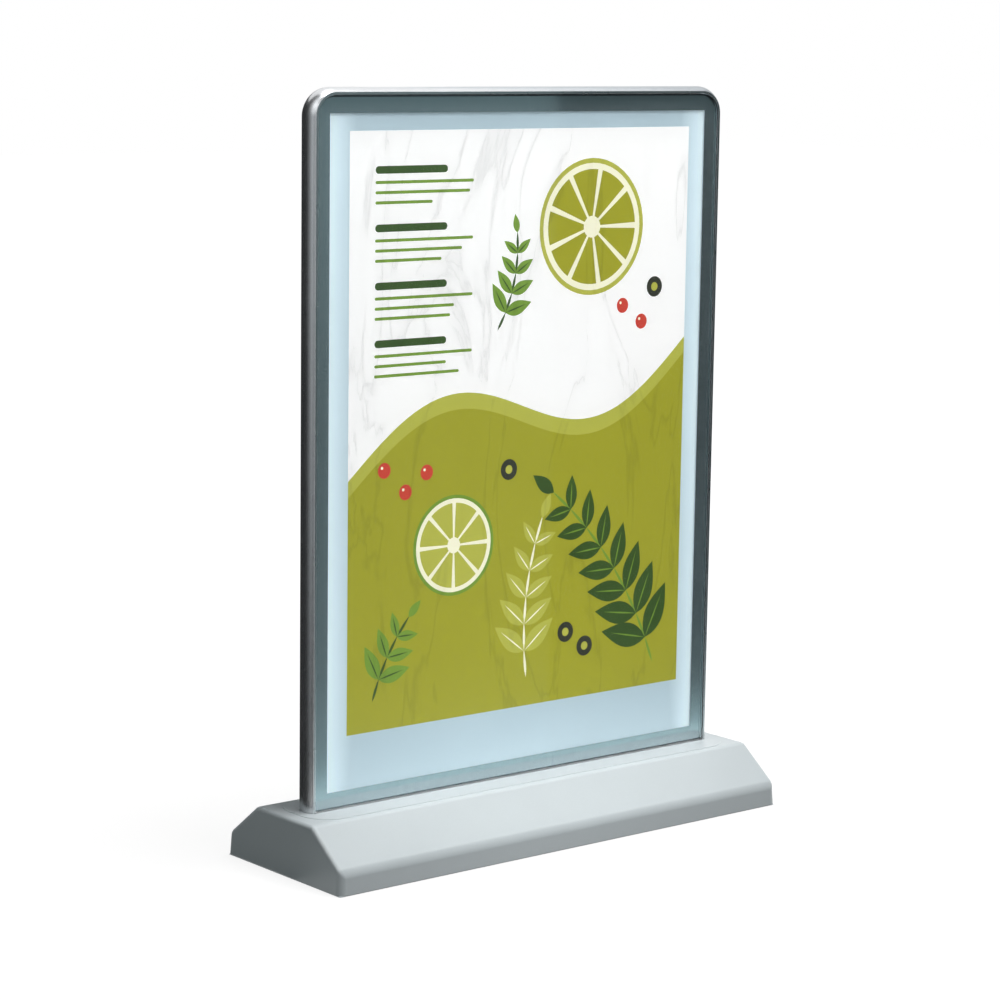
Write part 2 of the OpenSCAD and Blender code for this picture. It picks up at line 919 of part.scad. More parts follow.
module rear_diffuser()
    to_rear()
        front_diffuser();

module front_poster() color([0.75, 0.75, 0.35])
    upright(sheet_back, sheet_t)
        sheet_outline(sheet_z);

module rear_poster()
    to_rear()
        front_poster();

// Covers

module front_cover() color([0.8, 0.88, 0.92, 0.4])
    upright(cover_back, cover_t)
        cover_outline();

module rear_cover()
    to_rear()
        front_cover();

module front_cover_border() color([0.4, 0.46, 0.5])
    upright(border_face, border_t)
        difference() {
            cover_outline();
            window_outline();
        }

module rear_cover_border()
    to_rear()
        front_cover_border();

module front_cover_magnets() color([0.3, 0.31, 0.33])
    upright(lip_face + magnet_air, magnet_t)
        for (side = [-1, 1], i = [0 : magnet_count - 1])
            translate([side * magnet_x, magnet_low + i * magnet_step])
                square([magnet_w, magnet_h], center = true);

module rear_cover_magnets()
    to_rear()
        front_cover_magnets();

base_housing();
bottom_plate();
plate_screws();
rubber_feet();
ballast_bar();
ballast_screws();
battery_holder();
battery_cells();
battery_contacts();
control_board();
board_components();
board_screws();
usb_socket();
usb_tongue();
charge_light_pipe();
switch_housing();
rocker_button();
switch_terminals();
battery_leads();
switch_leads();
left_led_lead();
right_led_lead();
frame_band();
leg_screws();
bottom_rail();
panel_screws();
left_led_rail();
right_led_rail();
left_led_strip();
right_led_strip();
left_leds();
right_leds();
light_guide();
front_diffuser();
rear_diffuser();
front_poster();
rear_poster();
front_cover();
rear_cover();
front_cover_border();
rear_cover_border();
front_cover_magnets();
rear_cover_magnets();
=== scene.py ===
# Looks of the illuminated table sign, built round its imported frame. Metres, +Z up, front towards -Y.
import json
import math

import bmesh
import bpy
from mathutils import Matrix, Vector
from mathutils.geometry import delaunay_2d_cdt


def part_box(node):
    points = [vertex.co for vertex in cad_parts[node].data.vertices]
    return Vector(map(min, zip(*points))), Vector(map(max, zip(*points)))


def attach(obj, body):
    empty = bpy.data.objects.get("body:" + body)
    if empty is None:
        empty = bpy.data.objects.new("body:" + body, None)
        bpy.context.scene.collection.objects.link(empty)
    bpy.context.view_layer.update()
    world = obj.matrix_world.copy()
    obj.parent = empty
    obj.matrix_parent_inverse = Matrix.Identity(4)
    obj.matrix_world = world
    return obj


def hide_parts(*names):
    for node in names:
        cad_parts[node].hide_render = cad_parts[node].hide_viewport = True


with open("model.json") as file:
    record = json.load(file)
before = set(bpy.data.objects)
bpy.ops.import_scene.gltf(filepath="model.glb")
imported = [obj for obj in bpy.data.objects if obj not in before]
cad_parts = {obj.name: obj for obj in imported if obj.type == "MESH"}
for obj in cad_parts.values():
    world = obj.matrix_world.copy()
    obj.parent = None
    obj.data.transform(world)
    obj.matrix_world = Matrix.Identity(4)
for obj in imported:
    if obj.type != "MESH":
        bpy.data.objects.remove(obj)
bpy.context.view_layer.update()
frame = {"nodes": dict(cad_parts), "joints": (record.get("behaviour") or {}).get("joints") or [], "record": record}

MM = 0.001
SHARP_ANGLE = math.radians(35)

# Places that the frame gives
base_low, base_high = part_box("base_housing")
band_low, band_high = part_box("frame_band")
cover_low, cover_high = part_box("front_cover")
border_low, border_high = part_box("front_cover_border")
sheet_low, sheet_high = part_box("front_poster")
foot_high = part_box("rubber_feet")[1]
usb_low, usb_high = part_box("usb_socket")
pipe_low, pipe_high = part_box("charge_light_pipe")
switch_joint = next(j for j in frame["joints"] if j["name"] == "rocker_tilt")
half_turn = Matrix.Rotation(math.pi, 4, "Z")

# Base
SLOPE = math.atan2(-switch_joint["axis"][2], switch_joint["axis"][1])
SIDE_TOP = 2 * switch_joint["pos_m"][2] - base_high.z
BASE_FLARE = 0.5 * MM
BASE_WALL = 2.4 * MM
TOP_SOFT = 1.5 * MM
SHOULDER_SOFT = 2.6 * MM
END_SOFT = 1.9 * MM
CORNER_SOFT = 3.3 * MM
RIM_SOFT = 0.6 * MM
SLOT_CLEAR = 0.15 * MM
SLOT_LIP = 0.2 * MM
PAD_BEYOND = 4 * MM
PAD_INSET = 2.2 * MM
PAD_R = 13 * MM
PAD_H = 0.3 * MM
TROUGH_WALL = 1.7 * MM
TROUGH_FLOOR = 2.5 * MM
PORT_CLEAR = 0.3 * MM
PIPE_D = 3.1 * MM
FOOT_D = 12 * MM
FOOT_SOFT = 0.3 * MM
CUT = 1 * MM
shoulder_y = base_high.y - BASE_FLARE
shoulder_x = base_high.x - BASE_FLARE
top_half = shoulder_y - (base_high.z - SIDE_TOP) / math.tan(SLOPE)
pad_z = base_high.z + PAD_H

# Frame band and covers
BAND_W = 3 * MM
BAND_EDGE = 0.9 * MM
BAND_SOFT = 0.35 * MM
CORNER_R = 12 * MM
COVER_GAP = 0.3 * MM
COVER_SOFT = 0.1 * MM
COVER_FOOT_R = 0.6 * MM
PRINT_GAP = 0.02 * MM
# Widths of the strip of painted shade at the border's top, sides and bottom, and how far it reaches past the
# cover: it stands for the dark gap under the band
GAP_SHADE_TOP = 0.7 * MM
GAP_SHADE_SIDE = 0.15 * MM
GAP_SHADE_BOTTOM = 0.05 * MM
GAP_SHADE_OVER = 0.2 * MM
BORDER_SIDE = 6.7 * MM
BORDER_TOP = 7.3 * MM
BORDER_BOTTOM = 6.8 * MM
window_half = cover_high.x - BORDER_SIDE
window_low = cover_low.z + BORDER_BOTTOM
window_high = cover_high.z - BORDER_TOP
cover_r = CORNER_R - BAND_W - COVER_GAP
band_half = band_high.y
bulge = BAND_W - BAND_EDGE
bulge_r = (band_half ** 2 + bulge ** 2) / (2 * bulge)

# Switch
BEZEL_L = 15 * MM
BEZEL_H = 10.5 * MM
BEZEL_T = 1.6 * MM
BEZEL_LIP = 1 * MM
BEZEL_R = 1.4 * MM
BEZEL_SOFT = 0.5 * MM
BODY_R = 0.3 * MM
SWITCH_DEPTH = 11 * MM
SWITCH_WALL = 0.8 * MM
WELL_DEPTH = 7.5 * MM
ROCKER_R = 5.4 * MM
ROCKER_W = 6.3 * MM
ROCKER_RISE = 2.9 * MM
ROCKER_DIP = 1.7 * MM
ROCKER_ROOT = 3 * MM
ROCKER_SOFT = 0.4 * MM
ROCKER_CURVE = 1.25
ROCKER_TILT = math.radians(9)
MARK_X = 3.2 * MM
MARK_R = 1.3 * MM
MARK_LINE_W = 0.5 * MM
MARK_LINE_R = 0.2 * MM
MARK_RING_W = 0.4 * MM
MARK_DEPTH = 0.06 * MM
MARK_SPAN = 1 * MM

# Printed sheet: the picture's margins on the film, and its motifs' lengths, shares and angles in degrees
CREASE_LEAN = math.radians(25)
PICTURE_LEFT = 11.5 * MM
PICTURE_RIGHT = 9.9 * MM
PICTURE_BOTTOM = 30 * MM
PICTURE_TOP = 13.6 * MM
FIELD_LOW = 0.40
FIELD_RISE = 0.20
FIELD_SWING = 0.075
FIELD_EDGE = 7 * MM
FRUIT_CORE = 0.16
FRUIT_FLESH = 0.84
FRUIT_PITH = 0.93
WEDGE_GAP = 3
WEDGE_TAPER = 4
LEAF_LEAN = 52
LEAF_SLIM = 0.42
LEAF_POINT = 0.8
LEAF_SHRINK = 0.5
TIP_L = 0.55
TIP_W = 0.24
STEM_W = 1.4 * MM
STEM_LAP = 1.1
VEIN_W = 0.7 * MM
VEIN_L = 0.8
BERRY_R = 3.4 * MM
GLINT_OFF = 0.35
GLINT_R = 0.2
OLIVE_R = 4.6 * MM
OLIVE_HOLE = 0.42
BAR_PITCH = 4.2 * MM
BAR_THICK = 3.2 * MM
BAR_THIN = 1.3 * MM
picture_w = sheet_high.x - sheet_low.x - PICTURE_LEFT - PICTURE_RIGHT
picture_h = sheet_high.z - sheet_low.z - PICTURE_BOTTOM - PICTURE_TOP

# Light from inside, and the studio
FILM_GLOW = 0.36
GUIDE_GLOW = 0.9
LED_GLOW = 1.6
LED_GLOW_REACH = 14 * MM
FOOT_GLOW_REACH = 26 * MM
AMBIENT = 0.06
FLOOR_HALF = 6
FLOOR_GLOW = 0.86
FLOOR_GLOW_REACH = 0.9
CARD_LEFT = -0.17
CARD_BACK = 0.12
CARD_BEND = 0.03
CARD_FRONT = -0.09
CARD_START = -0.135
CARD_SPLIT = 0.09
CARD_H = 0.7
FRONT_CARD_H = 0.6
SOFTBOX = (0.8, 0.8)

# Camera, solved from the sign's own straight edges
CAMERA_AZIMUTH = math.radians(-39.4353)
CAMERA_ELEVATION = math.radians(9.0694)
CAMERA_ROLL = math.radians(0.8075)
CAMERA_TARGET = Vector((0, -0.5 * MM, 169.46 * MM))
CAMERA_SHIFT_X = 7.69 * MM
CAMERA_SHIFT_Y = 20.81 * MM
CAMERA_DISTANCE = 1284.94 * MM
FOCAL_PX = 2945.77
IMAGE_PX = 1000
SENSOR_MM = 36


# Mesh helpers

def mesh_object(name, bm):
    """Links a new object that holds the bmesh."""
    bmesh.ops.recalc_face_normals(bm, faces=bm.faces)
    mesh = bpy.data.meshes.new(name)
    bm.to_mesh(mesh)
    bm.free()
    obj = bpy.data.objects.new(name, mesh)
    bpy.context.scene.collection.objects.link(obj)
    return obj


def loft(name, rings):
    """A closed solid through rings of points, with a flat cap at each end."""
    bm = bmesh.new()
    loops = [[bm.verts.new(p) for p in ring] for ring in rings]
    for low, high in zip(loops, loops[1:]):
        for i in range(len(low)):
            j = (i + 1) % len(low)
            bm.faces.new((low[i], low[j], high[j], high[i]))
    bm.faces.new(list(reversed(loops[0])))
    bm.faces.new(loops[-1])
    return mesh_object(name, bm)


def block(name, low, high):
    """A plain box, used as a cutting tool."""
    corners = [(low[0], low[1]), (high[0], low[1]), (high[0], high[1]), (low[0], high[1])]
    return loft(name, [[(x, y, z) for x, y in corners] for z in (low[2], high[2])])


def apply_modifiers(obj):
    """Replaces the object's mesh by its evaluated one."""
    bpy.context.view_layer.update()
    graph = bpy.context.evaluated_depsgraph_get()
    mesh = bpy.data.meshes.new_from_object(obj.evaluated_get(graph))
    obj.modifiers.clear()
    obj.data = mesh


def combine(obj, operation, *tools):
    """Adds or cuts each tool, then deletes it."""
    for tool in tools:
        step = obj.modifiers.new(tool.name, "BOOLEAN")
        step.operation = operation
        step.object = tool
        step.solver = "EXACT"
    apply_modifiers(obj)
    for tool in tools:
        bpy.data.objects.remove(tool)


def smooth(obj):
    """Smooth shading with sharp edges past an angle, and flat faces kept flat."""
    obj.data.shade_smooth()
    obj.data.set_sharp_from_angle(angle=SHARP_ANGLE)
    weighted = obj.modifiers.new("weighted_normals", "WEIGHTED_NORMAL")
    weighted.keep_sharp = True


def dress(obj, material, body, slot, *nodes):
    """Gives a piece its material, its body and the nodes that it stands for. Its record slot is not used."""
    if material:
        obj.data.materials.clear()
        obj.data.materials.append(material)
    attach(obj, body)
    if nodes:
        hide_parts(*nodes)


def arc(cx, cy, r, start, end, steps):
    """Points of an arc, with angles in degrees."""
    angles = [math.radians(start + (end - start) * i / steps) for i in range(steps + 1)]
    return [(cx + r * math.cos(a), cy + r * math.sin(a)) for a in angles]


def rounded(x0, y0, x1, y1, r_low, r_high, steps=8):
    """A rectangle's outline with rounded lower and upper corners."""
    return (
        arc(x1 - r_low, y0 + r_low, r_low, -90, 0, steps)
        + arc(x1 - r_high, y1 - r_high, r_high, 0, 90, steps)
        + arc(x0 + r_high, y1 - r_high, r_high, 90, 180, steps)
        + arc(x0 + r_low, y0 + r_low, r_low, 180, 270, steps)
    )


def circle(cx, cy, r, steps=32):
    """A circle's outline."""
    return arc(cx, cy, r, 0, 360, steps)[:-1]


def round_edge(steps):
    """A rounded edge, step by step: the shares by which it has drawn in and risen."""
    turns = [math.radians(90 * i / steps) for i in range(steps + 1)]
    return [(1 - math.cos(turn), math.sin(turn)) for turn in turns]


# Shader helpers

class NodeTree:
    """Adds linked nodes to a tree."""

    def __init__(self, tree):
        self.tree = tree

    def node(self, kind, inputs=None, **settings):
        made = self.tree.nodes.new(kind)
        for name, value in settings.items():
            setattr(made, name, value)
        for name, value in (inputs or {}).items():
            self.feed(made.inputs[name], value)
        return made

    def feed(self, socket, value):
        if isinstance(value, bpy.types.NodeSocket):
            self.tree.links.new(value, socket)
        else:
            socket.default_value = value

    def level(self, value, low, high, start=0.3, end=0.7):
        made = self.node("ShaderNodeMapRange", {
            "Value": value, "From Min": start, "From Max": end, "To Min": low, "To Max": high,
        })
        return made.outputs["Result"]

    def math(self, operation, a, b=0.0):
        made = self.node("ShaderNodeMath", {0: a, 1: b}, operation=operation)
        return made.outputs[0]

    def profile(self, place, pairs):
        """A value that runs straight from one pair of place and value to the next."""
        value = pairs[0][1]
        for (start, low), (end, high) in zip(pairs, pairs[1:]):
            value = self.math("ADD", value, self.level(place, 0, high - low, start, end))
        return value

    def seen(self):
        """1 for rays from the camera, a mirror or glass, and 0 for those that light a matt surface."""
        path = self.node("ShaderNodeLightPath").outputs
        mirrored = self.math("MAXIMUM", path["Is Camera Ray"], path["Is Glossy Ray"])
        value = self.math("MAXIMUM", mirrored, path["Is Transmission Ray"])
        return self.math("GREATER_THAN", value, path["Diffuse Depth"])

    def end_in_mix(self, output, share, first, second):
        """Ends the tree in a mix of two shaders."""
        mix = self.node("ShaderNodeMixShader", {0: share, 1: first.outputs[0], 2: second.outputs[0]})
        self.feed(self.tree.nodes[output].inputs["Surface"], mix.outputs[0])


class Shader(NodeTree):
    """Builds one material's node tree on a Principled shader."""

    def __init__(self, name):
        self.material = bpy.data.materials.new(name)
        self.material.use_nodes = True
        super().__init__(self.material.node_tree)
        self.bsdf = self.tree.nodes["Principled BSDF"]
        self.coords = self.node("ShaderNodeTexCoord").outputs["Object"]

    def set(self, **inputs):
        for name, value in inputs.items():
            self.feed(self.bsdf.inputs[name.replace("_", " ").title().replace("Ior", "IOR")], value)

    def noise(self, scale, detail=2.0, stretch=(1, 1, 1), distortion=0.0, lean=0.0):
        placed = self.node("ShaderNodeMapping", {
            "Vector": self.coords, "Scale": stretch, "Rotation": (0, lean, 0),
        })
        made = self.node("ShaderNodeTexNoise", {
            "Vector": placed.outputs[0], "Scale": scale, "Detail": detail, "Distortion": distortion,
        })
        return made.outputs["Fac"]

    def cells(self, scale, output="Distance"):
        made = self.node("ShaderNodeTexVoronoi", {"Vector": self.coords, "Scale": scale})
        return made.outputs[output]

    def ramp(self, value, low, high, start=0.3, end=0.7):
        made = self.node("ShaderNodeValToRGB", {"Fac": value})
        for stop, place, colour in zip(made.color_ramp.elements, (start, end), (low, high)):
            stop.position = place
            stop.color = (*colour, 1)
        return made.outputs["Color"]

    def bump(self, height, depth, strength=1.0):
        made = self.node("ShaderNodeBump", {"Height": height, "Distance": depth, "Strength": strength})
        self.set(normal=made.outputs[0])

    def place(self):
        """The point's own coordinates, by axis."""
        return self.node("ShaderNodeSeparateXYZ", {"Vector": self.coords}).outputs

    def replace_by_mix(self, share, first, second):
        """Puts a mix of two shaders in place of the Principled one."""
        self.end_in_mix("Material Output", share, first, second)
        self.tree.nodes.remove(self.bsdf)
        self.material.cycles.emission_sampling = "NONE"
        return self.material


def scaled(colour, factor):
    """The colour, lighter or darker."""
    return tuple(min(1.0, c * factor) for c in colour)


def plastic(name, colour, roughness, grain_mm, grain_depth, spread=0.03):
    """Moulded plastic: a fine spark-eroded grain and a slow drift of tone."""
    s = Shader(name)
    grain = s.noise(1 / (grain_mm * MM), 3)
    drift = s.noise(35, 2)
    s.set(
        base_color=s.ramp(s.math("ADD", s.math("MULTIPLY", grain, 0.5), s.math("MULTIPLY", drift, 0.5)),
                          scaled(colour, 1 - spread), scaled(colour, 1 + spread)),
        roughness=s.level(drift, roughness - 0.04, roughness + 0.05),
    )
    s.bump(grain, grain_depth * MM, 0.5)
    return s.material


def metal(name, colour, roughness, streak=(1, 1, 1), scale=400, spread=0.05, depth=0.004):
    """Metal with fine streaks: a large factor in streak runs across them."""
    s = Shader(name)
    lines = s.noise(scale, 3, streak)
    patch = s.noise(60, 2)
    s.set(
        metallic=1.0,
        base_color=s.ramp(lines, scaled(colour, 1 - spread), scaled(colour, 1 + spread)),
        roughness=s.level(s.math("ADD", s.math("MULTIPLY", lines, 0.7), s.math("MULTIPLY", patch, 0.3)),
                          roughness - 0.05, roughness + 0.06),
    )
    s.bump(lines, depth * MM, 0.4)
    return s.material


def wire_cover(name, colour):
    """Insulated wire, slightly waxy."""
    return plastic(name, colour, 0.45, 0.5, 0.01, 0.08)


def clear_acrylic():
    """Polished clear sheet with a trace of haze."""
    s = Shader("clear_acrylic")
    s.set(
        base_color=(0.97, 0.99, 1.0, 1),
        transmission_weight=1.0,
        ior=1.49,
        roughness=s.level(s.noise(25, 4), 0.01, 0.05),
    )
    return s.material


def border_print():
    """Silver-grey metallic ink with faint upright streaks."""
    s = Shader("border_print")
    lines = s.noise(1, 3, (900, 900, 7))
    cloud = s.noise(18, 2)
    tone = s.math("ADD", s.math("MULTIPLY", lines, 0.6), s.math("MULTIPLY", cloud, 0.4))
    s.set(
        metallic=0.9,
        base_color=s.ramp(tone, (0.54, 0.625, 0.65), (0.585, 0.68, 0.70)),
        roughness=s.level(cloud, 0.12, 0.17),
    )
    return s.material


def painted_gap_shade():
    """Painted shade: a dark line at the very edge of the border, for the shadowed gap under the band's rim."""
    s = Shader("painted_gap_shade")
    cloud = s.noise(300, 2)
    s.set(
        base_color=s.ramp(cloud, (0.018, 0.02, 0.026), (0.03, 0.033, 0.04)),
        roughness=s.level(cloud, 0.4, 0.55),
    )
    return s.material


def glowing(s, colour, strength):
    """Lights a surface from behind in its own colour."""
    s.set(base_color=colour, emission_color=colour, emission_strength=strength)
    s.material.cycles.emission_sampling = "NONE"


def ink(name, colour, crease_shade=0.06):
    """Printed film lit from behind, with the soft creases of plastered paper, each a slight bump and a thin line
    of painted shade.
    """
    s = Shader("ink_" + name)
    crease = s.noise(24, 5, (1, 1, 0.3), 1.2, CREASE_LEAN)
    fold = s.math("ABSOLUTE", s.math("SUBTRACT", crease, 0.5))
    # Painted shade: each ink is darker along thin crease lines
    tone = s.ramp(fold, scaled(colour, 1 - crease_shade), colour, 0.0, 0.02)
    glowing(s, tone, FILM_GLOW)
    s.set(roughness=s.level(crease, 0.38, 0.5))
    s.bump(crease, 0.02 * MM, 0.3)
    return s.material


def lit_film():
    """Plain film over the light plate: brightest beside the two rows of LEDs, and at its foot."""
    s = Shader("ink_film")
    place = s.place()
    side = s.level(s.math("ABSOLUTE", place["X"]), 0, 1, window_half - LED_GLOW_REACH, window_half)
    foot = s.level(place["Z"], 0.2, 0, window_low, window_low + FOOT_GLOW_REACH)
    cloud = s.level(s.noise(14, 2), -0.15, 0.15, 0, 1)
    glow = s.math("ADD", s.math("MAXIMUM", side, foot), cloud)
    glowing(s, s.ramp(glow, (0.42, 0.53, 0.585), (0.71, 0.84, 0.89), 0.0, 1.0), FILM_GLOW)
    s.set(roughness=0.4)
    return s.material


def opal_film():
    """Diffuser film, lit."""
    s = Shader("diffuser_film")
    cloud = s.noise(20, 2)
    glowing(s, s.ramp(cloud, (0.72, 0.84, 0.9), (0.82, 0.92, 0.96)), FILM_GLOW)
    s.set(roughness=0.55)
    s.bump(s.noise(3000, 2), 0.01 * MM, 0.3)
    return s.material


def guide_acrylic():
    """Light plate: clear sheet with a grid of etched dots that glow."""
    s = Shader("guide_acrylic")
    dots = s.cells(700)
    glowing(s, s.ramp(dots, (0.95, 0.99, 1.0), (0.62, 0.78, 0.85), 0.1, 0.5), GUIDE_GLOW)
    s.set(roughness=0.15, ior=1.49)
    return s.material


def led_packages():
    """Lit LED packages: yellow phosphor in a white case."""
    s = Shader("led_white")
    glowing(s, s.ramp(s.noise(900, 2), (1.0, 0.93, 0.75), (1.0, 1.0, 0.95)), LED_GLOW)
    s.set(roughness=0.3)
    return s.material


def galvanised(name, colour):
    """Zinc-coated sheet with its crystal pattern."""
    s = Shader(name)
    spangle = s.cells(260, output="Color")
    value = s.node("ShaderNodeSeparateColor", {"Color": spangle}).outputs[0]
    s.set(
        metallic=1.0,
        base_color=s.ramp(value, scaled(colour, 0.86), scaled(colour, 1.08), 0.0, 1.0),
        roughness=s.level(value, 0.3, 0.48, 0.0, 1.0),
    )
    return s.material


def circuit_board():
    """Green solder mask over a maze of copper tracks."""
    s = Shader("board_green")
    tracks = s.node("ShaderNodeTexBrick", {"Vector": s.coords, "Scale": 260.0, "Mortar Size": 0.03})
    s.set(
        base_color=s.ramp(tracks.outputs["Fac"], (0.02, 0.16, 0.075), (0.05, 0.28, 0.13), 0.2, 0.8),
        roughness=s.level(s.noise(200, 2), 0.25, 0.4),
    )
    s.bump(tracks.outputs["Fac"], 0.03 * MM, 0.6)
    return s.material


def shrink_wrap():
    """Cell sleeve: glossy film with slight ripples."""
    s = Shader("cell_wrap")
    ripple = s.noise(90, 3, (0.3, 1, 1))
    s.set(
        base_color=s.ramp(ripple, (0.035, 0.22, 0.33), (0.06, 0.33, 0.46)),
        roughness=s.level(ripple, 0.22, 0.34),
    )
    s.bump(ripple, 0.08 * MM, 0.4)
    return s.material


def frosted(name, colour):
    """Frosted clear plastic of the charge light."""
    s = Shader(name)
    haze = s.noise(1500, 2)
    s.set(
        base_color=s.ramp(haze, scaled(colour, 0.9), colour),
        roughness=s.level(haze, 0.35, 0.5),
        transmission_weight=0.35,
        subsurface_weight=0.2,
    )
    return s.material


MATERIALS = {
    "base_plastic": plastic("base_plastic", (0.595, 0.65, 0.67), 0.38, 0.45, 0.012),
    "dark_plastic": plastic("dark_plastic", (0.07, 0.075, 0.08), 0.5, 0.6, 0.03, 0.1),
    "switch_plastic": plastic("switch_plastic", (0.022, 0.022, 0.024), 0.36, 0.3, 0.012, 0.12),
    "rocker_plastic": plastic("rocker_plastic", (0.03, 0.03, 0.032), 0.24, 0.5, 0.006, 0.1),
    "foot_rubber": plastic("foot_rubber", (0.025, 0.025, 0.026), 0.78, 0.35, 0.04, 0.2),
    "ballast_steel": metal("ballast_steel", (0.38, 0.39, 0.40), 0.42, (1, 6, 6)),
    "screw_steel": metal("screw_steel", (0.56, 0.57, 0.58), 0.32),
    "rail_steel": galvanised("rail_steel", (0.58, 0.60, 0.61)),
    "magnet_nickel": metal("magnet_nickel", (0.62, 0.61, 0.59), 0.2),
    "band_aluminium": metal("band_aluminium", (0.72, 0.735, 0.75), 0.27, (0.05, 8, 0.05), 700, 0.04, 0.002),
    "rail_aluminium": metal("rail_aluminium", (0.66, 0.68, 0.70), 0.36, (0.05, 6, 6)),
    "clear_acrylic": clear_acrylic(),
    "border_print": border_print(),
    "diffuser_film": opal_film(),
    "guide_acrylic": guide_acrylic(),
    "led_white": led_packages(),
    "strip_board": plastic("strip_board", (0.86, 0.86, 0.83), 0.35, 1.2, 0.01, 0.04),
    "board_green": circuit_board(),
    "component_black": plastic("component_black", (0.035, 0.035, 0.04), 0.45, 0.3, 0.02, 0.15),
    "cell_wrap": shrink_wrap(),
    "contact_nickel": metal("contact_nickel", (0.68, 0.66, 0.62), 0.28, (1, 5, 1)),
    "socket_steel": metal("socket_steel", (0.62, 0.62, 0.62), 0.25, (1, 4, 1)),
    "terminal_brass": metal("terminal_brass", (0.72, 0.55, 0.24), 0.3),
    "wire_red": wire_cover("wire_red", (0.4, 0.03, 0.03)),
    "wire_orange": wire_cover("wire_orange", (0.6, 0.2, 0.02)),
    "wire_black": wire_cover("wire_black", (0.03, 0.03, 0.03)),
    "light_pipe": frosted("light_pipe", (0.78, 0.88, 0.8)),
}

# Painted shade for the gap between cover and band
PAINTED_GAP_SHADE = painted_gap_shade()

# Inks of the printed film; the number after a colour is the depth of painted shade along the creases
INKS = {
    "film": lit_film(),
    "paper": ink("paper", (0.905, 0.885, 0.87), 0.16),
    "olive": ink("olive", (0.325, 0.315, 0.018), 0.14),
    "moss": ink("moss", (0.42, 0.42, 0.06), 0.1),
    "leaf": ink("leaf", (0.16, 0.28, 0.03), 0.1),
    "pine": ink("pine", (0.035, 0.075, 0.012), 0.1),
    "cream": ink("cream", (0.85, 0.82, 0.62), 0.05),
    "tomato": ink("tomato", (0.55, 0.05, 0.03), 0.08),
    "dark": ink("dark", (0.03, 0.032, 0.022), 0.1),
}


# Base

def slot_ring(grow, z):
    """The panel's foot in plan, grown by a clearance: flat sides and round ends."""
    end_x = band_high.x - bulge_r
    reach = math.degrees(math.asin(band_half / bulge_r))
    right = [(x, y * (band_half + grow) / band_half) for x, y in arc(end_x, 0, bulge_r, -reach, reach, 12)]
    ring = [(x + grow, y) for x, y in right] + [(-x - grow, -y) for x, y in right]
    return [(x, y, z) for x, y in ring]


def base_form():
    """The housing's outer form: a flared foot under two slopes, each edge with its own softness."""
    levels = [(base_low.z, base_high.x, base_high.y), (SIDE_TOP, shoulder_x, shoulder_y),
              (base_high.z, shoulder_x, top_half)]
    obj = loft("base_shell", [[(-x, -y, z), (x, -y, z), (x, y, z), (-x, y, z)] for z, x, y in levels])
    bm = bmesh.new()
    bm.from_mesh(obj.data)
    weight = bm.edges.layers.float.new("bevel_weight_edge")
    for edge in bm.edges:
        a, b = (v.co for v in edge.verts)
        lengthwise = abs(a.x - b.x) > base_high.x
        if max(a.z, b.z) < base_low.z + CUT:
            soft = RIM_SOFT
        elif min(a.z, b.z) > SIDE_TOP + CUT:
            soft = TOP_SOFT if lengthwise else END_SOFT
        elif abs(a.z - b.z) < CUT:
            soft = SHOULDER_SOFT if lengthwise else 0
        else:
            soft = CORNER_SOFT if min(a.z, b.z) < SIDE_TOP - CUT else END_SOFT
        edge[weight] = soft / CORNER_SOFT
    bm.to_mesh(obj.data)
    bm.free()
    bevel = obj.modifiers.new("soft_edges", "BEVEL")
    bevel.limit_method = "WEIGHT"
    bevel.width = CORNER_SOFT
    bevel.segments = 8
    bevel.use_clamp_overlap = False
    apply_modifiers(obj)
    return obj


def pad_ring(inset, z):
    """The pad's outline round the panel's foot, drawn in by an inset."""
    half_x = band_high.x + PAD_BEYOND - inset
    half_y = top_half - PAD_INSET - inset
    return [(x, y, z) for x, y in rounded(-half_x, -half_y, half_x, half_y, PAD_R - inset, PAD_R - inset, 12)]


def pad():
    """The low raised pad round the panel's foot, with a soft edge."""
    rings = [pad_ring(0, base_high.z - CUT)]
    rings += [pad_ring(PAD_H * drawn, base_high.z + PAD_H * risen) for drawn, risen in round_edge(4)]
    return loft("pad", rings)


def base_cavity():
    """The hollow under the housing, round the trough that holds the panel's foot."""
    inner_y = shoulder_y - BASE_WALL
    inner_z = base_high.z - BASE_WALL
    line = shoulder_y * math.sin(SLOPE) + SIDE_TOP * math.cos(SLOPE) - BASE_WALL
    shoulder_z = (line - inner_y * math.sin(SLOPE)) / math.cos(SLOPE)
    top_y = (line - inner_z * math.cos(SLOPE)) / math.sin(SLOPE)
    half = [(inner_y, base_low.z - CUT), (inner_y, shoulder_z), (top_y, inner_z)]
    outline = half + [(-y, z) for y, z in reversed(half)]
    inner_x = shoulder_x - BASE_WALL
    cavity = loft("cavity", [[(x, y, z) for y, z in outline] for x in (-inner_x, inner_x)])
    trough_x = band_high.x + SLOT_CLEAR + TROUGH_WALL
    trough_y = band_high.y + SLOT_CLEAR + TROUGH_WALL
    trough_z = band_low.z - TROUGH_FLOOR
    combine(cavity, "DIFFERENCE",
            block("trough", (-trough_x, -trough_y, trough_z), (trough_x, trough_y, base_high.z)))
    return cavity


def slot_tool():
    """Cuts the panel's slot, with a small rounded lip at the top."""
    rings = [slot_ring(SLOT_CLEAR, band_low.z)]
    for drawn, risen in round_edge(4):
        rings.append(slot_ring(SLOT_CLEAR + SLOT_LIP * drawn, pad_z - SLOT_LIP + SLOT_LIP * risen))
    rings.append(slot_ring(SLOT_CLEAR + SLOT_LIP, pad_z + CUT))
    return loft("slot", rings)


def through_back(name, outline):
    """Cuts an upright outline of x and z through the back wall."""
    depths = (base_high.y - BASE_WALL - CUT, base_high.y + CUT)
    return loft(name, [[(x, y, z) for x, z in outline] for y in depths])


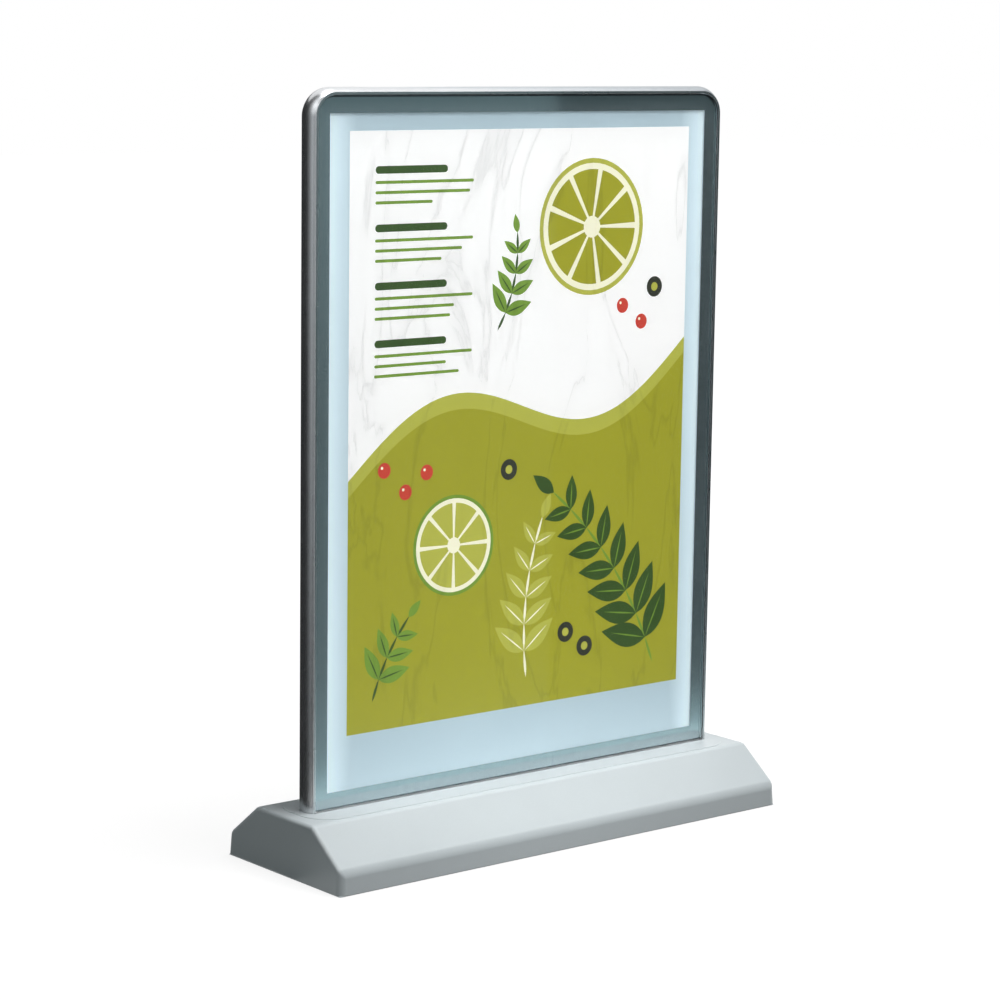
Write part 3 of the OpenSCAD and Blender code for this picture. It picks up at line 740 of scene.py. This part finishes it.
def make_base():
    """The housing, with its pad, its hollow and the openings for panel, inlet, light and switch."""
    shell = base_form()
    combine(shell, "UNION", pad())
    port_r = (usb_high.z - usb_low.z) / 2 + PORT_CLEAR
    port = rounded(usb_low.x - PORT_CLEAR, usb_low.z - PORT_CLEAR,
                   usb_high.x + PORT_CLEAR, usb_high.z + PORT_CLEAR, port_r, port_r)
    pipe = (pipe_low + pipe_high) / 2
    body_l = BEZEL_L / 2 - BEZEL_LIP + SLOT_CLEAR
    body_h = BEZEL_H / 2 - BEZEL_LIP + SLOT_CLEAR
    switch = block("switch", (-body_l, -body_h, -3 * BASE_WALL), (body_l, body_h, CUT))
    switch.data.transform(switch_frame())
    combine(shell, "DIFFERENCE", base_cavity(), slot_tool(), through_back("port", port),
            through_back("pipe", circle(pipe.x, pipe.z, PIPE_D / 2)), switch)
    smooth(shell)
    dress(shell, MATERIALS["base_plastic"], "stand", "base_plastic", "base_housing")


def make_feet():
    """Four rubber discs with rounded lower edges, as one piece."""
    foot_r = FOOT_D / 2
    centre_x = foot_high.x - foot_r
    centre_y = foot_high.y - foot_r
    mid = FOOT_SOFT * 0.3
    rings = [(foot_r - FOOT_SOFT, 0), (foot_r - mid, mid), (foot_r, FOOT_SOFT), (foot_r, foot_high.z)]
    bm = bmesh.new()
    for x in (-centre_x, centre_x):
        for y in (-centre_y, centre_y):
            disc = loft("foot", [[(*p, z) for p in circle(x, y, r, 48)] for r, z in rings])
            bm.from_mesh(disc.data)
            bpy.data.objects.remove(disc)
    feet = mesh_object("foot_pads", bm)
    smooth(feet)
    dress(feet, MATERIALS["foot_rubber"], "stand", "foot_rubber", "rubber_feet")


# Panel

def band_ring(place):
    """The band's section at one place: flat inside, round outside, with soft front and back edges."""
    reach = math.degrees(math.asin((band_half - BAND_SOFT) / bulge_r))
    outer = arc(BAND_W - bulge_r, 0, bulge_r, -reach, reach, 20)
    edge_out = outer[-1][0] - BAND_SOFT
    front = arc(edge_out, band_half - BAND_SOFT, BAND_SOFT, 30, 90, 4)
    inner = arc(BAND_SOFT / 2, band_half - BAND_SOFT / 2, BAND_SOFT / 2, 90, 180, 3)
    half = front + inner
    section = outer + half + [(u, -v) for u, v in reversed(half)]
    return [place(u, v) for u, v in section]


def make_band():
    """Sweeps the section up the left leg, over the top and down the right leg."""
    inner_x = band_high.x - BAND_W
    inner_r = CORNER_R - BAND_W
    steps = 24
    bend_x = band_high.x - CORNER_R
    bend_z = band_high.z - CORNER_R
    rings = [band_ring(lambda u, v: (-inner_x - u, v, band_low.z))]
    for centre, start in ((-bend_x, 180), (bend_x, 90)):
        for step in range(steps + 1):
            turn = math.radians(start - 90 * step / steps)
            rings.append(band_ring(lambda u, v: (
                centre + (inner_r + u) * math.cos(turn), v, bend_z + (inner_r + u) * math.sin(turn))))
    rings.append(band_ring(lambda u, v: (inner_x + u, v, band_low.z)))
    band = loft("frame_band_rim", rings)
    smooth(band)
    dress(band, MATERIALS["band_aluminium"], "stand", "band_aluminium", "frame_band")


def cover_outline(inset):
    """A cover's outline of x and z, drawn in by an inset."""
    return rounded(cover_low.x + inset, cover_low.z + inset, cover_high.x - inset, cover_high.z - inset,
                   COVER_FOOT_R - inset, cover_r - inset, 12)


def make_cover(name, node, turned):
    """A clear sheet with polished, slightly broken edges."""
    layers = [(cover_high.y, COVER_SOFT), (cover_high.y - COVER_SOFT, 0), (cover_low.y + COVER_SOFT, 0),
              (cover_low.y, COVER_SOFT)]
    pane = loft(name, [[(x, y, z) for x, z in cover_outline(inset)] for y, inset in layers])
    if turned:
        pane.data.transform(half_turn)
    smooth(pane)
    pane.visible_shadow = False
    dress(pane, MATERIALS["clear_acrylic"], node, "clear_acrylic", node)


def signed_area(outline):
    """Twice the area of an outline, negative if it runs clockwise."""
    return sum(a[0] * b[1] - b[0] * a[1] for a, b in zip(outline, outline[1:] + outline[:1]))


def planar_map(shapes):
    """Cuts overlapping outlines into triangles: each keeps the number of the last outline over it."""
    points = [Vector(p) for shape in shapes for p in shape]
    faces = []
    count = 0
    for shape in shapes:
        corners = list(range(count, count + len(shape)))
        faces.append(corners if signed_area(shape) > 0 else corners[::-1])
        count += len(shape)
    verts, _, made, _, _, owners = delaunay_2d_cdt(points, [], faces, 1, 1e-7)
    return verts, made, [max(o) if o else -1 for o in owners]


def flat_slab(name, shapes, hole, y_front, y_back, turned):
    """A thin upright slab from a planar map. Each front face keeps the number of its outline."""
    verts, made, owners = planar_map(shapes)
    kept = [(f, o) for f, o in zip(made, owners) if o >= 0 and o != hole]
    bm = bmesh.new()
    front = [bm.verts.new((p.x, y_front, p.y)) for p in verts]
    back = [bm.verts.new((p.x, y_back, p.y)) for p in verts]
    owner = bm.faces.layers.int.new("owner")
    for face, number in kept:
        for loop, flip in ((front, False), (back, True)):
            corners = [loop[i] for i in face]
            shown = bm.faces.new(list(reversed(corners)) if flip else corners)
            shown[owner] = 0 if flip else number
    edges = [pair for face, _ in kept for pair in zip(face, face[1:] + face[:1])]
    inside = set(edges)
    for a, b in edges:
        if (b, a) not in inside:
            bm.faces.new((front[b], front[a], back[a], back[b]))
    bmesh.ops.delete(bm, geom=[v for v in bm.verts if not v.link_faces], context="VERTS")
    slab = mesh_object(name, bm)
    if turned:
        slab.data.transform(half_turn)
    return slab


def paint(slab, materials):
    """Gives each face of a slab the material of the outline that it belongs to."""
    used = list(dict.fromkeys(materials))
    for material in used:
        slab.data.materials.append(material)
    owners = slab.data.attributes["owner"].data
    for face in slab.data.polygons:
        face.material_index = used.index(materials[owners[face.index].value])


def make_border(name, node, body, turned):
    """The printed border: a thin frame just behind its cover, with a strip of painted shade at its edge for the
    dark gap under the band.
    """
    window = [(-window_half, window_low), (window_half, window_low),
              (window_half, window_high), (-window_half, window_high)]
    printed = rounded(cover_low.x + GAP_SHADE_SIDE, cover_low.z + GAP_SHADE_BOTTOM, cover_high.x - GAP_SHADE_SIDE,
                      cover_high.z - GAP_SHADE_TOP, COVER_FOOT_R - GAP_SHADE_SIDE, cover_r - GAP_SHADE_SIDE, 12)
    shapes = [cover_outline(-GAP_SHADE_OVER), printed, window]
    border = flat_slab(name, shapes, shapes.index(window), border_low.y + PRINT_GAP, border_high.y, turned)
    # The outer strip, the back and the edges take the painted shade; the rest takes the silver ink
    paint(border, [PAINTED_GAP_SHADE, MATERIALS["border_print"]])
    dress(border, None, body, "border_print", node)


# Poster: a leafy pattern in white and olive

def spot(across, up):
    """A place on the picture, given as shares of its width and height."""
    return across * picture_w, up * picture_h


def box_outline(x, y, w, h):
    """A rectangle from its corner and its size."""
    return [(x, y), (x + w, y), (x + w, y + h), (x, y + h)]


def pill(x, y, w, h):
    """A bar with round ends."""
    return rounded(x, y, x + w, y + h, h / 2, h / 2, 5)


def wave_line(x, lift):
    """Height of the wavy edge of the olive field."""
    share = x / picture_w
    swing = FIELD_SWING * math.sin(2 * math.pi * share)
    return picture_h * (FIELD_LOW + FIELD_RISE * share + swing) + lift


def field(lift, steps=48):
    """Everything under the wavy edge."""
    crest = [(picture_w * i / steps, wave_line(picture_w * i / steps, lift)) for i in range(steps + 1)]
    return [(0, 0), (picture_w, 0)] + list(reversed(crest))


def leaf_outline(x, y, length, width, angle, steps=10):
    """A pointed leaf that starts at a point and leans by an angle in degrees."""
    turn = math.radians(angle)
    shares = [i / steps for i in range(steps + 1)]
    half = [(length * share, width / 2 * math.sin(math.pi * share ** LEAF_POINT)) for share in shares]
    outline = half + [(u, -v) for u, v in reversed(half[1:-1])]
    return [(x + u * math.cos(turn) - v * math.sin(turn), y + u * math.sin(turn) + v * math.cos(turn))
            for u, v in outline]


def wedge(x, y, r, start, end):
    """One wedge of a sliced fruit."""
    inner = arc(x, y, FRUIT_CORE * r, start + WEDGE_TAPER, end - WEDGE_TAPER, 2)
    return arc(x, y, FRUIT_FLESH * r, start, end, 6) + list(reversed(inner))


def fruit_slice(place, r, rind, flesh, count):
    """A sliced fruit: rind, pith and wedges."""
    x, y = place
    step = 360 / count
    wedges = [(flesh, wedge(x, y, r, i * step + WEDGE_GAP, (i + 1) * step - WEDGE_GAP)) for i in range(count)]
    return [(rind, circle(x, y, r, 48)), ("cream", circle(x, y, FRUIT_PITH * r, 48))] + wedges


def sprig(place, length, lean, curl, pairs, leaf, inks):
    """A curved stem with pairs of leaves that shrink towards its tip."""
    x, y = place
    points = []
    angle = lean
    step = length / (pairs + 1)
    for _ in range(pairs + 2):
        points.append((x, y, angle))
        x += step * math.cos(math.radians(angle))
        y += step * math.sin(math.radians(angle))
        angle += curl
    shapes = []
    for x, y, angle in points[:-1]:
        shapes.append((inks[1], leaf_outline(x, y, step * STEM_LAP, STEM_W, angle, 4)))
    for i, (x, y, angle) in enumerate(points[1:-1]):
        size = leaf * (1 - LEAF_SHRINK * i / pairs)
        for tilt in (-LEAF_LEAN, LEAF_LEAN):
            shapes.append((inks[0], leaf_outline(x, y, size, size * LEAF_SLIM, angle + tilt)))
            shapes.append((inks[1], leaf_outline(x, y, size * VEIN_L, VEIN_W, angle + tilt, 4)))
    x, y, angle = points[-1]
    shapes.append((inks[0], leaf_outline(x, y, leaf * TIP_L, leaf * TIP_W, angle)))
    return shapes


def berry(place):
    """A small round fruit with a highlight."""
    x, y = place
    off = GLINT_OFF * BERRY_R
    return [("tomato", circle(x, y, BERRY_R, 24)), ("cream", circle(x - off, y + off, GLINT_R * BERRY_R, 10))]


def olive_ring(place):
    """A sliced olive."""
    return [("dark", circle(*place, OLIVE_R, 28)), ("moss", circle(*place, OLIVE_HOLE * OLIVE_R, 18))]


def bar_block(place, widths):
    """A block of plain bars: a thick one, then thin ones."""
    x, y = place
    bars = [("pine", pill(x, y, widths[0], BAR_THICK))]
    for i, w in enumerate(widths[1:]):
        bars.append(("leaf", pill(x, y - (i + 1) * BAR_PITCH, w, BAR_THIN)))
    return bars


def poster_layers():
    """Ink and outline of each shape, from the film up, with the picture's corner at the origin."""
    sheet_w = sheet_high.x - sheet_low.x
    sheet_h = sheet_high.z - sheet_low.z
    layers = [("film", box_outline(-PICTURE_LEFT, -PICTURE_BOTTOM, sheet_w, sheet_h)),
              ("paper", box_outline(0, 0, picture_w, picture_h)),
              ("moss", field(FIELD_EDGE)), ("olive", field(0))]
    layers += fruit_slice(spot(0.70, 0.83), 30 * MM, "moss", "olive", count=9)
    layers += fruit_slice(spot(0.30, 0.30), 22 * MM, "leaf", "moss", count=8)
    for place, length, lean, curl, pairs, leaf, inks in (
        ((0.92, 0.04), 105 * MM, 112, 4, 7, 27 * MM, ("pine", "leaf")),
        ((0.52, 0.05), 72 * MM, 96, -5, 5, 21 * MM, ("moss", "cream")),
        ((0.07, 0.05), 40 * MM, 70, -6, 3, 17 * MM, ("leaf", "pine")),
        ((0.42, 0.66), 44 * MM, 60, 8, 4, 15 * MM, ("leaf", "pine")),
    ):
        layers += sprig(spot(*place), length, lean, curl, pairs, leaf, inks)
    for place in ((0.16, 0.40), (0.22, 0.43), (0.10, 0.44), (0.86, 0.66), (0.80, 0.69)):
        layers += berry(spot(*place))
    for place in ((0.64, 0.12), (0.70, 0.09), (0.46, 0.42), (0.90, 0.72)):
        layers += olive_ring(spot(*place))
    for row in range(4):
        widths = [38 * MM, 52 * MM, (50 - 4 * row) * MM, (30 + 5 * row) * MM]
        layers += bar_block(spot(0.07, 0.93 - 0.095 * row), widths)
    return layers


def make_poster(name, node, turned):
    """The printed film, with each ink's area cut as its own faces."""
    layers = poster_layers()
    corner_x = sheet_low.x + PICTURE_LEFT
    corner_z = sheet_low.z + PICTURE_BOTTOM
    shapes = [[(x + corner_x, y + corner_z) for x, y in outline] for _, outline in layers]
    poster = flat_slab(name, shapes, None, sheet_low.y, sheet_high.y, turned)
    paint(poster, [INKS[key] for key, _ in layers])
    dress(poster, None, node, "poster_film", node)


# Switch

def switch_frame():
    """Switch axes: X along the base, Y down the slope, Z out of it."""
    down = Vector(switch_joint["axis"]).normalized()
    out = Vector((1, 0, 0)).cross(down)
    turn = Matrix((Vector((1, 0, 0)), down, out)).transposed().to_4x4()
    return Matrix.Translation(switch_joint["pos_m"]) @ turn


def bezel_ring(half_l, half_h, r, z):
    """A rounded rectangle round the switch's axis, at one height."""
    return [(x, y, z) for x, y in rounded(-half_l, -half_h, half_l, half_h, r, r, 6)]


def make_switch_body():
    """The switch's case: a soft-edged bezel on a plain body, hollow for the rocker."""
    half_l = BEZEL_L / 2
    half_h = BEZEL_H / 2
    body_l = half_l - BEZEL_LIP
    body_h = half_h - BEZEL_LIP
    rings = [bezel_ring(body_l, body_h, BODY_R, -SWITCH_DEPTH), bezel_ring(body_l, body_h, BODY_R, 0),
             bezel_ring(half_l, half_h, BEZEL_R, 0)]
    for drawn, risen in round_edge(4):
        inset = BEZEL_SOFT * drawn
        height = BEZEL_T - BEZEL_SOFT * (1 - risen)
        rings.append(bezel_ring(half_l - inset, half_h - inset, BEZEL_R - inset, height))
    body = loft("switch_case", rings)
    well_l = body_l - SWITCH_WALL
    well_h = body_h - SWITCH_WALL
    well = block("well", (-well_l, -well_h, -WELL_DEPTH), (well_l, well_h, BEZEL_T + CUT))
    combine(body, "DIFFERENCE", well)
    body.data.transform(switch_frame())
    smooth(body)
    dress(body, MATERIALS["switch_plastic"], "stand", "switch_plastic", "switch_housing")


def rocker_top(x):
    """Height of the rocker's dished top."""
    return ROCKER_DIP + (ROCKER_RISE - ROCKER_DIP) * (abs(x) / ROCKER_R) ** ROCKER_CURVE


def rocker_outline(inset):
    """Side view of the rocker, drawn in by an inset."""
    r = ROCKER_R - inset
    side_high = math.degrees(math.asin((ROCKER_RISE - inset) / r))
    side_low = math.degrees(math.asin(ROCKER_ROOT / r))
    right = arc(0, 0, r, -side_low, side_high, 8)
    edge = right[-1][0]
    steps = 16
    across = [edge - 2 * edge * i / steps for i in range(1, steps)]
    top = [(x, rocker_top(x) - inset) for x in across]
    left = [(-x, z) for x, z in reversed(right)]
    return right + top + left


def make_rocker():
    """The rocker at rest, tipped to one side, with a line and a ring set into its two halves."""
    half_w = ROCKER_W / 2
    edge = [(half_w - ROCKER_SOFT * drawn, ROCKER_SOFT * (1 - risen)) for drawn, risen in round_edge(3)]
    rings = [(-y, inset) for y, inset in edge] + edge[::-1]
    place = switch_frame() @ Matrix.Rotation(ROCKER_TILT, 4, "Y")
    rocker = loft("rocker_key", [[(x, y, z) for x, z in rocker_outline(inset)] for y, inset in rings])
    rocker.data.transform(place)
    smooth(rocker)
    dress(rocker, MATERIALS["rocker_plastic"], "rocker", "rocker_plastic", "rocker_button")
    line = rounded(-MARK_LINE_W / 2, -MARK_R, MARK_LINE_W / 2, MARK_R, MARK_LINE_R, MARK_LINE_R, 5)
    make_mark("mark_line", [line], -MARK_X, place)
    make_mark("mark_ring", [circle(0, 0, MARK_R), circle(0, 0, MARK_R - MARK_RING_W)], MARK_X, place)


def make_mark(name, shapes, x, place):
    """A pale mark flush with the slope of the rocker's top: a second outline is its hole."""
    mark = flat_slab(name, shapes, 1, 0, MARK_DEPTH, False)
    slope = math.atan((rocker_top(x + MARK_SPAN) - rocker_top(x - MARK_SPAN)) / (2 * MARK_SPAN))
    upright = Matrix.Rotation(-slope, 4, "Y") @ Matrix.Rotation(-math.pi / 2, 4, "X")
    mark.data.transform(place @ Matrix.Translation((x, 0, rocker_top(x))) @ upright)
    dress(mark, MATERIALS["strip_board"], "rocker", "strip_board")


# Stage, light and camera

def make_world():
    """White to the eye and to mirrors, and a dim pale sky to matt surfaces."""
    world = bpy.data.worlds.new("studio")
    bpy.context.scene.world = world
    world.use_nodes = True
    s = NodeTree(world.node_tree)
    ambient = s.tree.nodes["Background"]
    s.feed(ambient.inputs["Color"], (0.95, 0.98, 1.0, 1))
    s.feed(ambient.inputs["Strength"], AMBIENT)
    white = s.node("ShaderNodeBackground", {"Color": (1, 1, 1, 1)})
    s.end_in_mix("World Output", s.seen(), ambient, white)


def floor_material():
    """Pale floor: white to the eye, with the object's shadow, and a plain pale grey to bounced light."""
    s = Shader("floor")
    bounce = s.node("ShaderNodeBsdfDiffuse", {"Color": (0.16, 0.16, 0.16, 1)})
    shaded = s.node("ShaderNodeBsdfDiffuse", {"Color": (0.2, 0.2, 0.2, 1)})
    reach = s.node("ShaderNodeVectorMath", {0: s.coords}, operation="LENGTH").outputs["Value"]
    white = s.node("ShaderNodeEmission", {"Strength": s.level(reach, FLOOR_GLOW, 1, 0, FLOOR_GLOW_REACH)})
    shown = s.node("ShaderNodeAddShader", {0: shaded.outputs[0], 1: white.outputs[0]})
    return s.replace_by_mix(s.seen(), bounce, shown)


def make_floor():
    """A wide plain floor."""
    bm = bmesh.new()
    corners = box_outline(-FLOOR_HALF, -FLOOR_HALF, 2 * FLOOR_HALF, 2 * FLOOR_HALF)
    bm.faces.new([bm.verts.new((x, y, 0)) for x, y in corners])
    floor = mesh_object("floor", bm)
    floor.data.materials.append(floor_material())


def card_material(name, tint, levels, shares=((0, 1),)):
    """A card's glow by height, times a share by depth. Only rays that a mirror has turned see it."""
    s = Shader("card_" + name)
    place = s.place()
    glow = s.math("MULTIPLY", s.profile(place["Z"], levels), s.profile(place["Y"], shares))
    shown = s.node("ShaderNodeEmission", {"Color": tint, "Strength": glow})
    clear = s.node("ShaderNodeBsdfTransparent")
    turned = s.math("GREATER_THAN", s.node("ShaderNodeLightPath").outputs["Glossy Depth"], 0.5)
    return s.replace_by_mix(turned, clear, shown)


def make_card(name, corner, along, up, material):
    """A flat card that only mirrors see."""
    corner, along, up = Vector(corner), Vector(along), Vector(up)
    bm = bmesh.new()
    bm.faces.new([bm.verts.new(p) for p in (corner, corner + along, corner + along + up, corner + up)])
    card = mesh_object(name, bm)
    card.data.materials.append(material)
    card.visible_camera = False
    card.visible_diffuse = False
    card.visible_shadow = False


def make_cards():
    """Cards round the sign, mirrored in its band and border: dark behind, graded in front."""
    pale = (0.92, 0.97, 1, 1)
    cool = (0.72, 0.96, 1, 1)
    up = (0, 0, CARD_H)
    front_up = (0, 0, FRONT_CARD_H)
    dark = card_material("dark", pale, [(0, 0.03)])
    make_card("left_card", (CARD_LEFT, CARD_BACK, 0), (0, CARD_BEND - CARD_BACK, 0), up, dark)
    make_card("back_card", (CARD_LEFT, CARD_BACK, 0), (0.34, 0.22, 0), (0, 0, 0.4), dark)
    make_card("ground_card", (CARD_LEFT, -0.01, 0.001), (0.33, 0, 0), (0, 0.36, 0), dark)
    near = card_material("near", pale, [(0.02, 0.125), (0.3, 0.567)], [
        (-0.085, 0.25), (-0.045, 0.4), (-0.02, 1), (-0.005, 0.69), (0.007, 0.4), (0.028, 0.1),
    ])
    make_card("near_card", (CARD_LEFT, CARD_BEND, 0), (-0.28, -0.5, 0), up, near)
    right = card_material("right", cool, [
        (0.002, 0.8), (0.012, 0.46), (0.024, 0.275), (0.06, 0.155), (0.12, 0.118), (0.18, 0.115),
        (0.28, 0.188), (0.32, 0.21),
    ])
    make_card("right_card", (CARD_START, CARD_FRONT, 0), (CARD_SPLIT - CARD_START, 0, 0), front_up, right)
    far = card_material("far", cool, [
        (0.002, 0.9), (0.008, 0.41), (0.03, 0.125), (0.06, 0.07), (0.15, 0.046), (0.3, 0.05), (0.32, 0.1),
    ])
    make_card("far_card", (CARD_SPLIT, CARD_FRONT, 0), (0.8, 0, 0), front_up, far)
    side = card_material("side", pale, [(0.33, 0.5), (0.55, 1)])
    make_card("side_card", (0.2, -0.1, 0.33), (0, 0.4, 0), (0, 0, 0.22), side)


def hang(light, place, target):
    """Links a lamp and aims it."""
    obj = bpy.data.objects.new(light.name, light)
    bpy.context.scene.collection.objects.link(obj)
    obj.location = place
    obj.rotation_euler = (Vector(target) - Vector(place)).to_track_quat("-Z", "Y").to_euler()
    obj.visible_camera = False
    return obj


def make_softbox(name, place, target, size, power, tint=(1, 1, 1), matt=True, mirror=True):
    """A wide lamp, seen by matt surfaces, by mirrors or by both."""
    light = bpy.data.lights.new(name, "AREA")
    light.shape = "RECTANGLE"
    light.size, light.size_y = size
    light.color = tint
    light.energy = power
    obj = hang(light, place, target)
    obj.visible_diffuse = matt
    obj.visible_transmission = matt
    obj.visible_glossy = mirror


def make_spot(name, place, target, angle, power):
    """A soft spot of light."""
    light = bpy.data.lights.new(name, "SPOT")
    light.spot_size = math.radians(angle)
    light.spot_blend = 1.0
    light.shadow_soft_size = 0.1
    light.energy = power
    hang(light, place, target).visible_glossy = False


def make_lamps():
    """Two lamps for mirrors only, and soft light on the matt surfaces."""
    make_softbox("top_light", (0.15, -0.15, 1.6), (0, 0, 0.02), SOFTBOX, power=13, matt=False)
    make_softbox("edge_light", (-1.1, -0.26, 1.12), (-0.12, -0.02, 0.03), SOFTBOX, power=10, matt=False)
    make_softbox("left_fill", (-1.2, -0.2, 0.3), (0, 0, 0.02), (0.8, 0.5), power=1.15, tint=(0.9, 1, 1),
                 mirror=False)
    make_spot("base_light", (0.03, -0.75, 0.8), (-0.015, -0.03, 0.012), angle=15, power=9.5)
    make_softbox("key", (0.5, -0.42, 1.55), (0, 0, 0.05), (1.2, 0.9), power=27.8, mirror=False)
    make_softbox("back_fill", (-0.2, 1.5, 0.15), (0, 0, 0.15), (1.2, 0.4), power=7.5, mirror=False)


def make_camera():
    """The photograph's camera: its angles, its roll and its distance from the target."""
    back = Vector((math.sin(CAMERA_AZIMUTH) * math.cos(CAMERA_ELEVATION),
                   -math.cos(CAMERA_AZIMUTH) * math.cos(CAMERA_ELEVATION), math.sin(CAMERA_ELEVATION)))
    right = (-back).cross(Vector((0, 0, 1))).normalized()
    up = right.cross(-back)
    turned_right = math.cos(CAMERA_ROLL) * right + math.sin(CAMERA_ROLL) * up
    turned_up = math.cos(CAMERA_ROLL) * up - math.sin(CAMERA_ROLL) * right
    place = (CAMERA_TARGET - turned_right * CAMERA_SHIFT_X - turned_up * CAMERA_SHIFT_Y
             + back * CAMERA_DISTANCE)
    data = bpy.data.cameras.new("camera")
    data.sensor_width = SENSOR_MM
    data.lens = SENSOR_MM * FOCAL_PX / IMAGE_PX
    camera = bpy.data.objects.new("camera", data)
    bpy.context.scene.collection.objects.link(camera)
    turn = Matrix((turned_right, turned_up, back)).transposed().to_4x4()
    camera.matrix_world = Matrix.Translation(place) @ turn
    bpy.context.scene.camera = camera


# Camera and sign
make_camera()
make_base()
make_feet()
make_band()
make_switch_body()
make_rocker()
for turned, face in ((False, "front"), (True, "rear")):
    cover = face + "_cover"
    make_cover(face + "_pane", cover, turned)
    make_border(face + "_border", cover + "_border", cover, turned)
    make_poster(face + "_print", face + "_poster", turned)

# Every other node keeps its shape and takes the material of its slot
for row in frame["record"]["subparts"]:
    node = frame["nodes"][row["node"]]
    if row["material_slot"] in MATERIALS:
        node.data.materials.clear()
        node.data.materials.append(MATERIALS[row["material_slot"]])

make_world()
make_floor()
make_cards()
make_lamps()
bpy.context.scene.view_settings.view_transform = "Standard"
